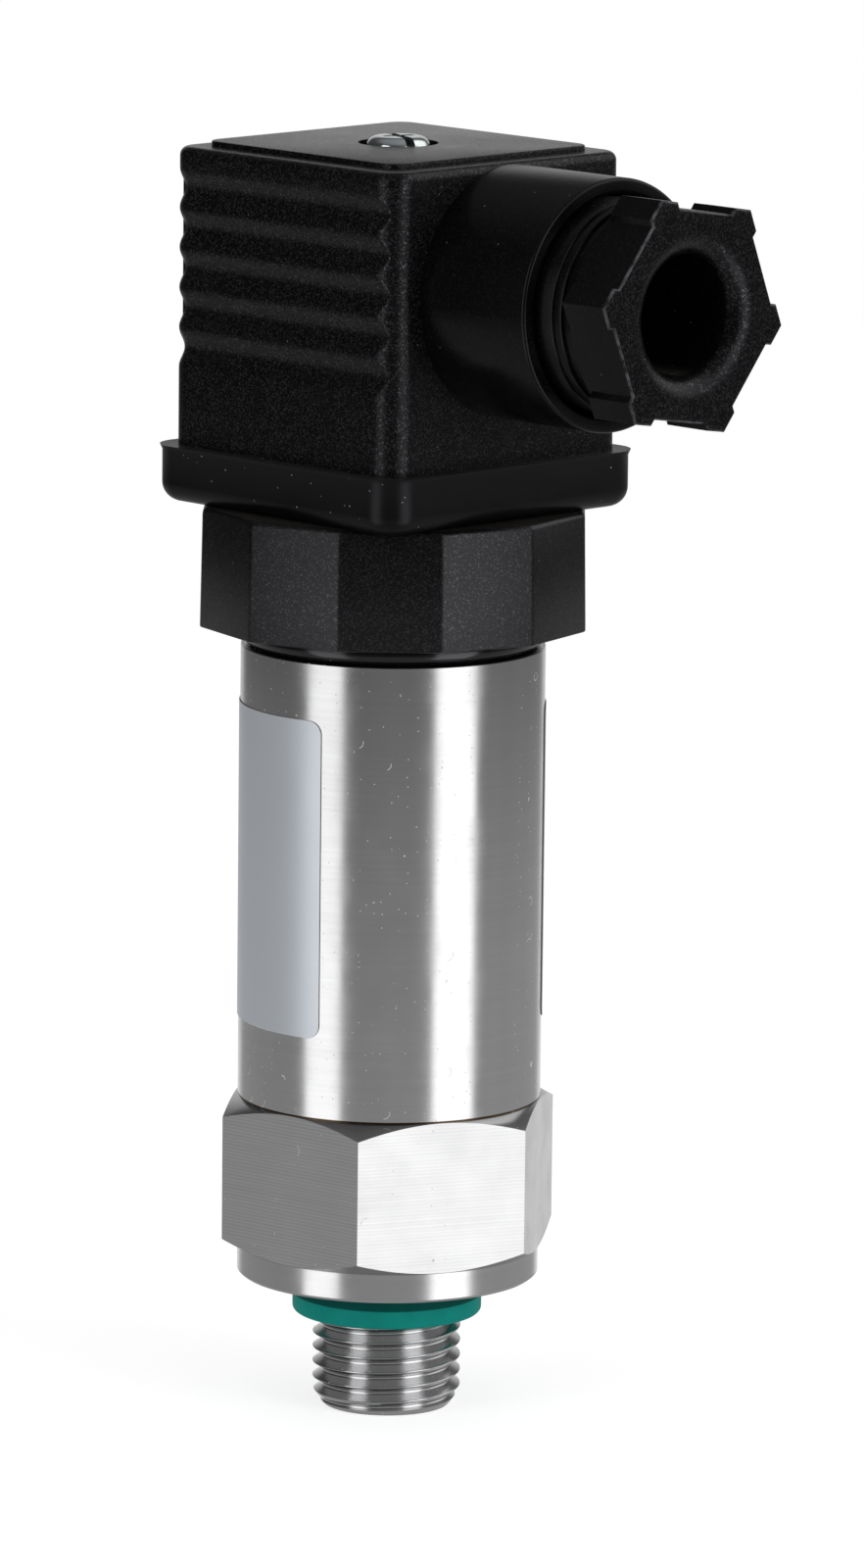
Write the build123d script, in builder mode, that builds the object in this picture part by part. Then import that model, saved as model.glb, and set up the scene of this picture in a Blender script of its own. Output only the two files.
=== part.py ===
from build123d import *
import os
from math import cos, radians, sin, tan

# Pressure transmitter with an angled plug-in connector.
# The origin is on the axis, in the sealing face under the collar. +Z runs up
# the instrument, and the cable entry of the plug points along +X.
# All sizes are in millimetres.

# Process connection: threaded stud, collar and spanner hexagon
thread_diameter = 13.157
stud_length = 12.0
stud_chamfer = 0.9
relief_diameter = 11.3
relief_length = 2.8
port_diameter = 5.0
collar_diameter = 26.7
collar_height = 2.55
collar_chamfer = 0.25
hex_across_flats = 27.0
hex_turn = 6.3
hex_bevel_angle = 30.0
shoulder_height = 16.1
spigot_height = 3.9

# Sealing ring on the stud
ring_wall = 1.7
ring_height = 3.6
ring_gap = 0.12
ring_fillet = 0.45

# Measuring cell and its seat
cell_diameter = 18.0
cell_height = 6.35
cell_seat_height = 10.0
cell_gap = 0.2
cell_recess_diameter = 8.4
cell_diaphragm = 0.6
cell_chamfer = 0.4
cell_seal_diameter = 12.0
cell_seal_width = 2.2
cell_seal_height = 1.4
cell_groove_gap = 0.15
clamp_ring_height = 3.2
clamp_ring_opening = 12.0
clamp_slot_width = 1.6
clamp_slot_depth = 1.2
pin_diameter = 0.6
pin_pitch = 2.54
pin_count = 4
pin_overlap = 3.0

# Body tube and label
tube_diameter = 26.8
tube_wall = 1.2
tube_top = 56.4
spigot_gap = 0.05
label_thickness = 0.1
label_bottom = 23.25
label_height = 28.1
label_start = 39.7
label_span = 249.0
label_corner = 1.6

# Electronics
holder_height = 7.0
holder_wall = 2.5
holder_gap = 0.1
holder_floor = 2.0
board_width = 22.0
board_thickness = 1.6
board_top = 50.0
board_gap = 0.05
board_corner = 0.6
chip_width = 7.0
chip_thickness = 1.3
chip_place = 9.0
chip_corner = 0.3
amplifier_width = 5.0
amplifier_length = 4.0
amplifier_thickness = 1.6
amplifier_spacing = 9.0
amplifier_place = 19.0
resistor_width = 0.9
resistor_length = 1.6
resistor_thickness = 0.7
resistor_pitch = 2.6
resistor_count = 5
resistor_place = 14.5
capacitor_diameter = 5.0
capacitor_length = 5.5
capacitor_place = 12.0
diode_width = 1.6
diode_length = 2.4
diode_thickness = 1.1
diode_pitch = 4.0
diode_count = 4
diode_place = 18.0
wire_diameter = 1.2
wire_pad_height = 5.0
wire_bend_radius = 3.5
wire_rise = 2.0
wire_drop = 2.0
wire_inner_place = 3.0
wire_outer_place = 7.0
wire_overlap = 2.0

# Twelve-sided cap that closes the tube and carries the contact blades
cap_across_flats = 33.7
cap_sides = 12
cap_draft = 1.0
cap_bottom = 58.3
cap_top = 68.85
cap_bevel = 0.45
cap_web = 3.35
cap_spigot_bottom = 52.3
cap_spigot_wall = 1.7
cap_spigot_gap = 0.05
plinth_width = 20.8
plinth_height = 2.15
plinth_corner = 2.0
boss_diameter = 8.0
boss_drop = 3.0
insert_diameter = 4.6

# Contact blades
blade_spacing = 18.0
blade_width = 6.3
blade_thickness = 0.8
blade_top = 79.6
earth_extra = 1.2
blade_tip = 0.9
tail_bottom = 60.5
tail_width = 2.4

# Plug housing
plug_width = 28.2
plug_corner = 2.3
plug_top = 100.0
plug_top_fillet = 0.8
plug_wall = 1.9
plug_roof = 3.7
panel_width = 23.9
panel_height = 0.5
panel_corner = 1.6
panel_edge = 0.12
groove_count = 5
groove_pitch = 3.5
groove_depth = 0.5
groove_top = 96.4
post_width = 3.2

# Gasket between the cap and the plug
gasket_width = 30.6
gasket_corner = 3.0
gasket_height = 5.0
gasket_web = 1.5
gasket_fillet = 1.7
gasket_lip = 0.25
plinth_gap = 0.3

# Cable gland
barrel_diameter = 21.9
barrel_end = 26.8
barrel_height = 88.9
barrel_wall = 1.35
barrel_floor = 14.2
barrel_mouth = 0.3
barrel_edge = 0.3
cable_hole_diameter = 13.0
gland_clearance = 0.3
grommet_length = 6.8
grommet_bore = 8.0
grommet_bevel = 1.0
washer_thickness = 1.0
washer_bore = 11.6
nut_collar_end = 28.5
nut_step_diameter = 18.2
nut_step_end = 29.4
nut_neck_diameter = 17.6
nut_neck_end = 30.2
nut_lobe_start = 31.3
nut_end = 36.2
nut_across_flats = 17.9
nut_lobe_across_flats = 19.0
nut_lobe_width = 3.5
nut_turn = 51.4
nut_bore = 10.2
nut_flare = 2.1
nut_edge = 0.2

# Terminal block, contacts and screws inside the plug
block_gap = 0.1
block_lift = 0.3
block_height = 13.0
block_floor = 1.2
block_corner = 1.5
contact_width = 7.6
contact_depth = 2.4
contact_height = 9.0
contact_slit = 0.8
contact_gap = 0.15
blade_clearance = 0.15
terminal_width = 5.6
terminal_depth = 3.6
terminal_height = 4.6
terminal_wire_hole = 2.6
terminal_screw_diameter = 2.4
terminal_head_diameter = 3.2
terminal_head_height = 1.4
terminal_slot = 0.6

# Centre screw that holds the plug on the base
screw_diameter = 3.0
screw_gap = 0.08
screw_top = 101.1
screw_head_diameter = 5.6
screw_head_height = 2.2
screw_head_fillet = 1.0
screw_bottom = 65.0
screw_slot_width = 0.8
screw_slot_depth = 1.1
screw_cross_width = 0.7
screw_cross_length = 2.8
screw_slot_turn = -52.0
screw_boss_diameter = 6.8
recess_diameter = 7.0
screw_hole_gap = 0.3
screw_seal_thickness = 0.6
screw_seal_diameter = 5.6

# How far a cut runs past what it cuts
cut_overrun = 1.0

# Sizes that follow from the values above
thread_radius = thread_diameter / 2
ring_bore_radius = thread_radius + ring_gap
tube_radius = tube_diameter / 2
tube_bore_radius = tube_radius - tube_wall
spigot_top = shoulder_height + spigot_height
cell_top = cell_seat_height + cell_height
chamber_radius = cell_diameter / 2 + cell_gap
holder_top = spigot_top + holder_height
board_bottom = spigot_top + holder_floor
web_bottom = cap_top - cap_web
plinth_top = cap_top + plinth_height
cap_bore_radius = tube_bore_radius - cap_spigot_wall
insert_bottom = web_bottom - boss_drop
gasket_bottom = cap_top
housing_bottom = gasket_bottom + gasket_web
cavity_width = plug_width - 2 * plug_wall
cavity_top = plug_top - plug_roof
panel_top = plug_top + panel_height
block_bottom = plinth_top + block_lift
block_top = block_bottom + block_height
block_width = cavity_width - 2 * block_gap
blade_radius = blade_spacing / 2
gland_bore_radius = barrel_diameter / 2 - barrel_wall
gland_radius = gland_bore_radius - gland_clearance
grommet_end = barrel_floor + grommet_length
washer_end = grommet_end + washer_thickness
head_bottom = screw_top - screw_head_height
recess_floor = head_bottom - screw_seal_thickness
screw_hole_radius = screw_diameter / 2 + screw_hole_gap
contact_bottom = block_bottom + block_floor
terminal_bottom = contact_bottom + contact_height
terminal_top = terminal_bottom + terminal_height
gland_plane = Plane(origin=(0, 0, barrel_height), x_dir=(0, 1, 0), z_dir=(1, 0, 0))
gland_section = Plane(origin=(0, 0, barrel_height), x_dir=(1, 0, 0), z_dir=(0, -1, 0))
gland_axis = Axis((0, 0, barrel_height), (1, 0, 0))


def save(builder, name):
    builder.part.label = name
    export_step(builder.part, f"parts/{name}.step")


os.makedirs("parts", exist_ok=True)

# Process connection: one turned and milled piece of stainless steel. The
# hexagon is cut from the round collar upwards, and beveled at both ends.
collar_radius = collar_diameter / 2
bevel_slope = tan(radians(hex_bevel_angle))
bevel_reach = 0.6 * hex_across_flats
with BuildPart() as process_connection:
    with BuildSketch():
        RegularPolygon(hex_across_flats / 2, 6, major_radius=False, rotation=hex_turn)
    extrude(amount=shoulder_height)
    with BuildSketch(Plane.XZ):
        with BuildLine():
            Polyline(
                (0, 0),
                (collar_radius - collar_chamfer, 0),
                (collar_radius, collar_chamfer),
                (collar_radius, collar_height),
                (bevel_reach, collar_height + (bevel_reach - collar_radius) * bevel_slope),
                (bevel_reach, shoulder_height - (bevel_reach - tube_radius) * bevel_slope),
                (tube_radius, shoulder_height),
                (0, shoulder_height),
                close=True,
            )
        make_face()
    revolve(axis=Axis.Z, mode=Mode.INTERSECT)
    with BuildSketch(Plane.XZ):
        with BuildLine():
            Polyline(
                (0, 0),
                (relief_diameter / 2, 0),
                (relief_diameter / 2, -relief_length),
                (thread_radius, -relief_length - (thread_diameter - relief_diameter) / 2),
                (thread_radius, stud_chamfer - stud_length),
                (thread_radius - stud_chamfer, -stud_length),
                (0, -stud_length),
                close=True,
            )
        make_face()
    revolve(axis=Axis.Z)
    with BuildSketch(Plane.XY.offset(shoulder_height)):
        Circle(tube_bore_radius - spigot_gap)
    extrude(amount=spigot_height)
    # Seat of the measuring cell, groove of its seal, and the pressure port
    with BuildSketch(Plane.XY.offset(cell_seat_height)):
        Circle(chamber_radius)
    extrude(amount=spigot_top - cell_seat_height, mode=Mode.SUBTRACT)
    with BuildSketch(Plane.XY.offset(cell_seat_height)):
        Circle(cell_seal_diameter / 2 + cell_seal_width / 2 + cell_groove_gap)
        Circle(cell_seal_diameter / 2 - cell_seal_width / 2 - cell_groove_gap, mode=Mode.SUBTRACT)
    extrude(amount=-cell_seal_height, mode=Mode.SUBTRACT)
    with BuildSketch(Plane.XY.offset(-stud_length)):
        Circle(port_diameter / 2)
    extrude(amount=stud_length + cell_seat_height, mode=Mode.SUBTRACT)
save(process_connection, "process_connection")

# Elastomer sealing ring round the stud, against the collar
with BuildPart() as stud_sealing_ring:
    with BuildSketch():
        Circle(ring_bore_radius + ring_wall)
        Circle(ring_bore_radius, mode=Mode.SUBTRACT)
    extrude(amount=-ring_height)
    outer_rim = stud_sealing_ring.edges().group_by(Axis.Z)[0].sort_by(SortBy.RADIUS)[-1]
    fillet(outer_rim, ring_fillet)
save(stud_sealing_ring, "stud_sealing_ring")

# Seal under the measuring cell, squeezed to an oval section
with BuildPart() as cell_seal:
    with BuildSketch(Plane.XZ):
        with Locations((cell_seal_diameter / 2, cell_seat_height - cell_seal_height / 2)):
            Ellipse(cell_seal_width / 2, cell_seal_height / 2)
    revolve(axis=Axis.Z)
save(cell_seal, "cell_seal")

# Ceramic measuring cell, hollow from below up to its diaphragm
with BuildPart() as measuring_cell:
    with BuildSketch(Plane.XY.offset(cell_seat_height)):
        Circle(cell_diameter / 2)
    extrude(amount=cell_height)
    chamfer(measuring_cell.edges().group_by(Axis.Z)[-1], cell_chamfer)
    with BuildSketch(Plane.XY.offset(cell_seat_height)):
        Circle(cell_recess_diameter / 2)
    extrude(amount=cell_height - cell_diaphragm, mode=Mode.SUBTRACT)
save(measuring_cell, "measuring_cell")

# Ring that clamps the cell down, with two slots for its key
with BuildPart() as cell_clamp_ring:
    with BuildSketch(Plane.XY.offset(cell_top)):
        Circle(cell_diameter / 2)
        Circle(clamp_ring_opening / 2, mode=Mode.SUBTRACT)
    extrude(amount=clamp_ring_height)
    with BuildSketch(Plane.XY.offset(cell_top + clamp_ring_height)):
        Rectangle(clamp_slot_width, cell_diameter + cut_overrun)
    extrude(amount=-clamp_slot_depth, mode=Mode.SUBTRACT)
save(cell_clamp_ring, "cell_clamp_ring")

# Pins of the cell, soldered to one side of the board
pin_radius = pin_diameter / 2
pin_row = board_thickness / 2 + pin_radius
with BuildPart() as cell_pins:
    with BuildSketch(Plane.XY.offset(cell_top)):
        with Locations((0, pin_row)):
            with GridLocations(pin_pitch, 0, pin_count, 1):
                Circle(pin_radius)
    extrude(amount=board_bottom + pin_overlap - cell_top)
save(cell_pins, "cell_pins")

# Plastic ring that stands on the process connection and holds the board
holder_radius = tube_bore_radius - holder_gap
with BuildPart() as board_holder:
    with BuildSketch(Plane.XY.offset(spigot_top)):
        Circle(holder_radius)
        Circle(holder_radius - holder_wall, mode=Mode.SUBTRACT)
    extrude(amount=holder_height)
    with BuildSketch(Plane.XY.offset(board_bottom)):
        Rectangle(board_width + 2 * board_gap, board_thickness + 2 * board_gap)
    extrude(amount=holder_top - board_bottom, mode=Mode.SUBTRACT)
save(board_holder, "board_holder")

# Circuit board, upright in the two slots of the holder
board_height = board_top - board_bottom
with BuildPart() as circuit_board:
    with BuildSketch(Plane.XZ):
        with Locations((0, board_bottom + board_height / 2)):
            RectangleRounded(board_width, board_height, board_corner)
    extrude(amount=board_thickness / 2, both=True)
save(circuit_board, "circuit_board")

# Components on the two faces of the board: chips, capacitors and resistors
front_face = Plane(origin=(0, -board_thickness / 2, 0), x_dir=(1, 0, 0), z_dir=(0, -1, 0))
back_face = Plane(origin=(0, board_thickness / 2, 0), x_dir=(-1, 0, 0), z_dir=(0, 1, 0))
with BuildPart() as circuit_components:
    with BuildSketch(front_face):
        with Locations((0, board_bottom + chip_place)):
            RectangleRounded(chip_width, chip_width, chip_corner)
    extrude(amount=chip_thickness)
    with BuildSketch(front_face):
        with Locations((0, board_bottom + amplifier_place)):
            with GridLocations(amplifier_spacing, 0, 2, 1):
                RectangleRounded(amplifier_width, amplifier_length, chip_corner)
    extrude(amount=amplifier_thickness)
    with BuildSketch(front_face):
        with Locations((0, board_bottom + resistor_place)):
            with GridLocations(resistor_pitch, 0, resistor_count, 1):
                Rectangle(resistor_width, resistor_length)
    extrude(amount=resistor_thickness)
    with BuildSketch(back_face):
        with Locations((0, board_bottom + capacitor_place)):
            Circle(capacitor_diameter / 2)
    extrude(amount=capacitor_length)
    with BuildSketch(back_face):
        with Locations((0, board_bottom + diode_place)):
            with GridLocations(diode_pitch, 0, diode_count, 1):
                Rectangle(diode_width, diode_length)
    extrude(amount=diode_thickness)
save(circuit_components, "circuit_components")

# Body tube, pushed over the spigot and down to the hexagon
with BuildPart() as body_tube:
    with BuildSketch(Plane.XY.offset(shoulder_height)):
        Circle(tube_radius)
        Circle(tube_bore_radius, mode=Mode.SUBTRACT)
    extrude(amount=tube_top - shoulder_height)
save(body_tube, "body_tube")

# Plain self-adhesive label, wrapped most of the way round the tube. Each of
# its two ends is trimmed to round corners.
label_middle = label_bottom + label_height / 2


def facing(angle, height):
    # Plane on the axis that faces outwards at an angle round the tube
    outward = (cos(radians(angle)), sin(radians(angle)), 0)
    return Plane(origin=(0, 0, height), x_dir=(-outward[1], outward[0], 0), z_dir=outward)


with BuildPart() as type_label:
    with BuildSketch(facing(label_start - 90, label_middle)):
        with Locations((tube_radius + label_thickness / 2, 0)):
            Rectangle(label_thickness, label_height)
    revolve(axis=Axis.Z, revolution_arc=label_span)
    for angle, inwards in ((label_start, 1), (label_start + label_span, -1)):
        with BuildSketch(facing(angle, label_middle)):
            Rectangle(2 * label_corner, label_height)
            with Locations((inwards * label_height / 2, 0)):
                RectangleRounded(label_height, label_height, label_corner, mode=Mode.SUBTRACT)
        extrude(amount=tube_diameter, mode=Mode.SUBTRACT)
save(type_label, "type_label")

# Seal between the rim of the tube and the cap, seen as a glossy bead
seal_radius = (cap_bottom - tube_top) / 2
seal_ring_radius = tube_radius - seal_radius - label_thickness
with BuildPart() as tube_seal:
    with BuildSketch(Plane.XZ):
        with Locations((seal_ring_radius, tube_top + seal_radius)):
            Circle(seal_radius)
    revolve(axis=Axis.Z)
save(tube_seal, "tube_seal")

# Twelve-sided moulded cap: spigot in the tube, web with the contact slots,
# and the square plinth that enters the plug
spigot_radius = tube_bore_radius - cap_spigot_gap
with BuildPart() as connector_cap:
    with BuildSketch(Plane.XY.offset(cap_bottom)):
        RegularPolygon(cap_across_flats / 2, cap_sides, major_radius=False)
    extrude(amount=cap_top - cap_bottom, taper=cap_draft)
    chamfer(connector_cap.edges().group_by(Axis.Z)[-1], cap_bevel)
    with BuildSketch(Plane.XY.offset(cap_top)):
        RectangleRounded(plinth_width, plinth_width, plinth_corner)
    extrude(amount=plinth_height)
    with BuildSketch(Plane.XY.offset(tube_top)):
        Circle(seal_ring_radius - seal_radius)
    extrude(amount=cap_bottom - tube_top)
    with BuildSketch(Plane.XY.offset(cap_spigot_bottom)):
        Circle(spigot_radius)
    extrude(amount=tube_top - cap_spigot_bottom)
    with BuildSketch(Plane.XY.offset(cap_spigot_bottom)):
        Circle(cap_bore_radius)
    extrude(amount=web_bottom - cap_spigot_bottom, mode=Mode.SUBTRACT)
    with BuildSketch(Plane.XY.offset(insert_bottom)):
        Circle(boss_diameter / 2)
    extrude(amount=boss_drop)
    with BuildSketch(Plane.XY.offset(insert_bottom)):
        Circle(insert_diameter / 2)
    extrude(amount=plinth_top - insert_bottom, mode=Mode.SUBTRACT)
    with BuildSketch(Plane.XY.offset(web_bottom)):
        with PolarLocations(blade_radius, 4):
            Rectangle(blade_thickness, blade_width)
    extrude(amount=plinth_top - web_bottom, mode=Mode.SUBTRACT)
save(connector_cap, "connector_cap")

# Brass insert in the middle of the cap, for the centre screw
with BuildPart() as threaded_insert:
    with BuildSketch(Plane.XY.offset(insert_bottom)):
        Circle(insert_diameter / 2)
        Circle(screw_diameter / 2 + screw_gap, mode=Mode.SUBTRACT)
    extrude(amount=plinth_top - insert_bottom)
save(threaded_insert, "threaded_insert")


def blade_outline(top):
    # Flat blade with a beveled tip, and a narrow tail below the web
    half = blade_width / 2
    Polyline(
        (-tail_width / 2, tail_bottom),
        (tail_width / 2, tail_bottom),
        (tail_width / 2, web_bottom),
        (half, web_bottom),
        (half, top - blade_tip),
        (half - blade_tip, top),
        (blade_tip - half, top),
        (-half, top - blade_tip),
        (-half, web_bottom),
        (-tail_width / 2, web_bottom),
        close=True,
    )


# Three signal blades and the longer earth blade, on the side of the cable
with BuildPart() as signal_blades:
    for angle in (90, 180, 270):
        with BuildSketch(facing(angle, 0).offset(blade_radius)):
            with BuildLine():
                blade_outline(blade_top)
            make_face()
        extrude(amount=blade_thickness / 2, both=True)
save(signal_blades, "signal_blades")

with BuildPart() as earth_blade:
    with BuildSketch(facing(0, 0).offset(blade_radius)):
        with BuildLine():
            blade_outline(blade_top + earth_extra)
        make_face()
    extrude(amount=blade_thickness / 2, both=True)
save(earth_blade, "earth_blade")

# Wires from the pads at the top of the board to the tails of the blades
wire_radius = wire_diameter / 2
wire_side = board_thickness / 2 + wire_radius
wire_reach = blade_radius - blade_thickness / 2 - wire_radius
wire_start = board_top - wire_pad_height
wire_end = tail_bottom + wire_overlap
wire_routes = (
    ((-wire_inner_place, wire_side), (0, wire_reach)),
    ((-wire_outer_place, wire_side), (-wire_reach, 0)),
    ((wire_inner_place, -wire_side), (0, -wire_reach)),
    ((wire_outer_place, -wire_side), (wire_reach, 0)),
)
with BuildPart() as lead_wires:
    for pad, tail in wire_routes:
        with BuildLine() as route:
            FilletPolyline(
                (*pad, wire_start),
                (*pad, board_top + wire_rise),
                (*tail, tail_bottom - wire_drop),
                (*tail, wire_end),
                radius=wire_bend_radius,
            )
        with BuildSketch(Plane(origin=(*pad, wire_start), z_dir=(0, 0, 1))):
            Circle(wire_radius)
        sweep(path=route.line)
save(lead_wires, "lead_wires")


def groove_outline(half):
    # Wavy outline of the grooves, beside a face at the distance -half: each
    # valley and each crest is an arc, and they meet without a corner
    top = groove_top + groove_pitch / 2
    bottom = top - groove_count * groove_pitch
    middle = groove_depth / 2 - half
    quarter = groove_pitch / 4
    outside = -half - cut_overrun
    Polyline((-half, bottom), (outside, bottom), (outside, top), (-half, top))
    TangentArc((-half, top), (middle, top - quarter), tangent=(0, -1))
    for index in range(groove_count):
        valley = groove_top - index * groove_pitch
        deepest = (groove_depth - half, valley)
        ThreePointArc((middle, valley + quarter), deepest, (middle, valley - quarter))
        if index < groove_count - 1:
            crest = valley - groove_pitch / 2
            ThreePointArc((middle, valley - quarter), (-half, crest), (middle, crest - quarter))
    TangentArc((-half, bottom), (middle, bottom + quarter), tangent=(0, 1))


# Plug housing: a square shell with a raised panel, grooves that run round three
# sides, the barrel of the cable gland on the fourth, and posts for the block
groove_start = plug_width / 2 + cut_overrun
groove_side = plug_width / 2
post_place = (cavity_width - post_width) / 2
with BuildPart() as plug_housing:
    with BuildSketch(Plane.XY.offset(housing_bottom)):
        RectangleRounded(plug_width, plug_width, plug_corner)
    extrude(amount=plug_top - housing_bottom)
    fillet(plug_housing.edges().group_by(Axis.Z)[-1], plug_top_fillet)
    with BuildLine() as groove_route:
        FilletPolyline(
            (groove_start, -groove_side, groove_top),
            (-groove_side, -groove_side, groove_top),
            (-groove_side, groove_side, groove_top),
            (groove_start, groove_side, groove_top),
            radius=plug_corner,
        )
    with BuildSketch(Plane(origin=(groove_start, 0, 0), x_dir=(0, 1, 0), z_dir=(1, 0, 0))):
        with BuildLine():
            groove_outline(groove_side)
        make_face()
    sweep(path=groove_route.line, mode=Mode.SUBTRACT)
    with BuildSketch(Plane.XY.offset(plug_top)):
        RectangleRounded(panel_width, panel_width, panel_corner)
    extrude(amount=panel_height)
    chamfer(plug_housing.edges().group_by(Axis.Z)[-1], panel_edge)
    with BuildSketch(gland_plane.offset(cavity_width / 2)):
        Circle(barrel_diameter / 2)
    extrude(amount=barrel_end - cavity_width / 2)
    chamfer(plug_housing.edges().group_by(Axis.X)[-1], barrel_edge)
    # Cavity for the terminal block, with a post in each corner above it
    with BuildSketch(Plane.XY.offset(housing_bottom)):
        Rectangle(cavity_width, cavity_width)
    extrude(amount=cavity_top - housing_bottom, mode=Mode.SUBTRACT)
    with BuildSketch(Plane.XY.offset(block_top)):
        with GridLocations(2 * post_place, 2 * post_place, 2, 2):
            Rectangle(post_width, post_width)
        Circle(screw_boss_diameter / 2)
    extrude(amount=cavity_top - block_top)
    # Bore of the barrel, hole for the cable, and the well of the centre screw
    with BuildSketch(gland_plane.offset(barrel_floor)):
        Circle(gland_bore_radius)
    extrude(amount=barrel_end - barrel_floor, mode=Mode.SUBTRACT)
    with BuildSketch(gland_plane.offset(cavity_width / 2)):
        Circle(cable_hole_diameter / 2)
    extrude(amount=barrel_floor - cavity_width / 2, mode=Mode.SUBTRACT)
    chamfer(plug_housing.edges().group_by(Axis.X)[-1].sort_by(SortBy.RADIUS)[0], barrel_mouth)
    with BuildSketch(Plane.XY.offset(recess_floor)):
        Circle(recess_diameter / 2)
    extrude(amount=panel_top - recess_floor, mode=Mode.SUBTRACT)
    with BuildSketch(Plane.XY.offset(block_top)):
        Circle(screw_hole_radius)
    extrude(amount=recess_floor - block_top, mode=Mode.SUBTRACT)
save(plug_housing, "plug_housing")

# Rubber gasket: a shallow cup round the foot of the plug
opening_width = plinth_width + 2 * plinth_gap
with BuildPart() as plug_gasket:
    with BuildSketch(Plane.XY.offset(gasket_bottom)):
        RectangleRounded(gasket_width, gasket_width, gasket_corner)
    extrude(amount=gasket_height)
    fillet(plug_gasket.edges().group_by(Axis.Z)[0], gasket_fillet)
    fillet(plug_gasket.edges().group_by(Axis.Z)[-1], gasket_lip)
    with BuildSketch(Plane.XY.offset(housing_bottom)):
        RectangleRounded(plug_width, plug_width, plug_corner)
    extrude(amount=gasket_height - gasket_web, mode=Mode.SUBTRACT)
    with BuildSketch(Plane.XY.offset(gasket_bottom)):
        RectangleRounded(opening_width, opening_width, plinth_corner + plinth_gap)
    extrude(amount=gasket_web, mode=Mode.SUBTRACT)
save(plug_gasket, "plug_gasket")

# Terminal block, with a chamber for each contact and a slot for each blade
with BuildPart() as terminal_block:
    with BuildSketch(Plane.XY.offset(block_bottom)):
        RectangleRounded(block_width, block_width, block_corner)
        Circle(screw_hole_radius, mode=Mode.SUBTRACT)
        with PolarLocations(blade_radius, 4):
            Rectangle(
                blade_thickness + 2 * blade_clearance,
                blade_width + 2 * blade_clearance,
                mode=Mode.SUBTRACT,
            )
    extrude(amount=block_height)
    with BuildSketch(Plane.XY.offset(contact_bottom)):
        with PolarLocations(blade_radius, 4):
            Rectangle(terminal_depth + 2 * contact_gap, contact_width + 2 * contact_gap)
    extrude(amount=block_top - contact_bottom, mode=Mode.SUBTRACT)
save(terminal_block, "terminal_block")

# Four female contacts: a slit sleeve for the blade under a wire clamp
with BuildPart() as female_contacts:
    with BuildSketch(Plane.XY.offset(contact_bottom)):
        with PolarLocations(blade_radius, 4):
            Rectangle(contact_depth, contact_width)
            Rectangle(
                blade_thickness + 2 * blade_clearance,
                blade_width + 2 * blade_clearance,
                mode=Mode.SUBTRACT,
            )
        with PolarLocations(blade_radius - contact_depth / 2, 4):
            Rectangle(contact_depth, contact_slit, mode=Mode.SUBTRACT)
    extrude(amount=contact_height)
    with BuildSketch(Plane.XY.offset(terminal_bottom)):
        with PolarLocations(blade_radius, 4):
            Rectangle(terminal_depth, terminal_width)
    extrude(amount=terminal_height)
    with BuildSketch(Plane.XY.offset(terminal_bottom + terminal_height / 2)):
        with PolarLocations(blade_radius, 4):
            Circle(terminal_screw_diameter / 2 + screw_gap)
    extrude(amount=terminal_height / 2, mode=Mode.SUBTRACT)
    for direction in ((1, 0, 0), (0, 1, 0)):
        with BuildSketch(Plane(origin=(0, 0, terminal_bottom + terminal_height / 2), z_dir=direction)):
            Circle(terminal_wire_hole / 2)
        extrude(amount=block_width / 2, both=True, mode=Mode.SUBTRACT)
save(female_contacts, "female_contacts")

# Clamp screws of the contacts, with slotted heads
with BuildPart() as terminal_screws:
    with BuildSketch(Plane.XY.offset(terminal_bottom + terminal_height / 2)):
        with PolarLocations(blade_radius, 4):
            Circle(terminal_screw_diameter / 2)
    extrude(amount=terminal_height / 2)
    with BuildSketch(Plane.XY.offset(terminal_top)):
        with PolarLocations(blade_radius, 4):
            Circle(terminal_head_diameter / 2)
    extrude(amount=terminal_head_height)
    with BuildSketch(Plane.XY.offset(terminal_top + terminal_head_height)):
        with PolarLocations(blade_radius, 4):
            Rectangle(terminal_head_diameter + cut_overrun, terminal_slot)
    extrude(amount=-terminal_head_height / 2, mode=Mode.SUBTRACT)
save(terminal_screws, "terminal_screws")

# Rubber seal under the head of the centre screw
with BuildPart() as screw_seal:
    with BuildSketch(Plane.XY.offset(recess_floor)):
        Circle(screw_seal_diameter / 2)
        Circle(screw_hole_radius, mode=Mode.SUBTRACT)
    extrude(amount=screw_seal_thickness)
save(screw_seal, "screw_seal")

# Centre screw: domed head with a slot and a cross recess, and its shank
with BuildPart() as centre_screw:
    with BuildSketch(Plane.XY.offset(head_bottom)):
        Circle(screw_head_diameter / 2)
    extrude(amount=screw_head_height)
    fillet(centre_screw.edges().group_by(Axis.Z)[-1], screw_head_fillet)
    with BuildSketch(Plane.XY.offset(screw_bottom)):
        Circle(screw_diameter / 2)
    extrude(amount=head_bottom - screw_bottom)
    with BuildSketch(Plane.XY.offset(screw_top)):
        Rectangle(screw_head_diameter + cut_overrun, screw_slot_width, rotation=screw_slot_turn)
        Rectangle(screw_cross_length, screw_cross_width, rotation=screw_slot_turn + 90)
    extrude(amount=-screw_slot_depth, mode=Mode.SUBTRACT)
save(centre_screw, "centre_screw")

# Rubber grommet of the gland, against the floor of the barrel
with BuildPart() as gland_grommet:
    with BuildSketch(gland_plane.offset(barrel_floor)):
        Circle(gland_radius)
    extrude(amount=grommet_length)
    chamfer(gland_grommet.edges().group_by(Axis.X)[0], grommet_bevel)
    with BuildSketch(gland_plane.offset(barrel_floor)):
        Circle(grommet_bore / 2)
    extrude(amount=grommet_length, mode=Mode.SUBTRACT)
save(gland_grommet, "gland_grommet")

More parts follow.
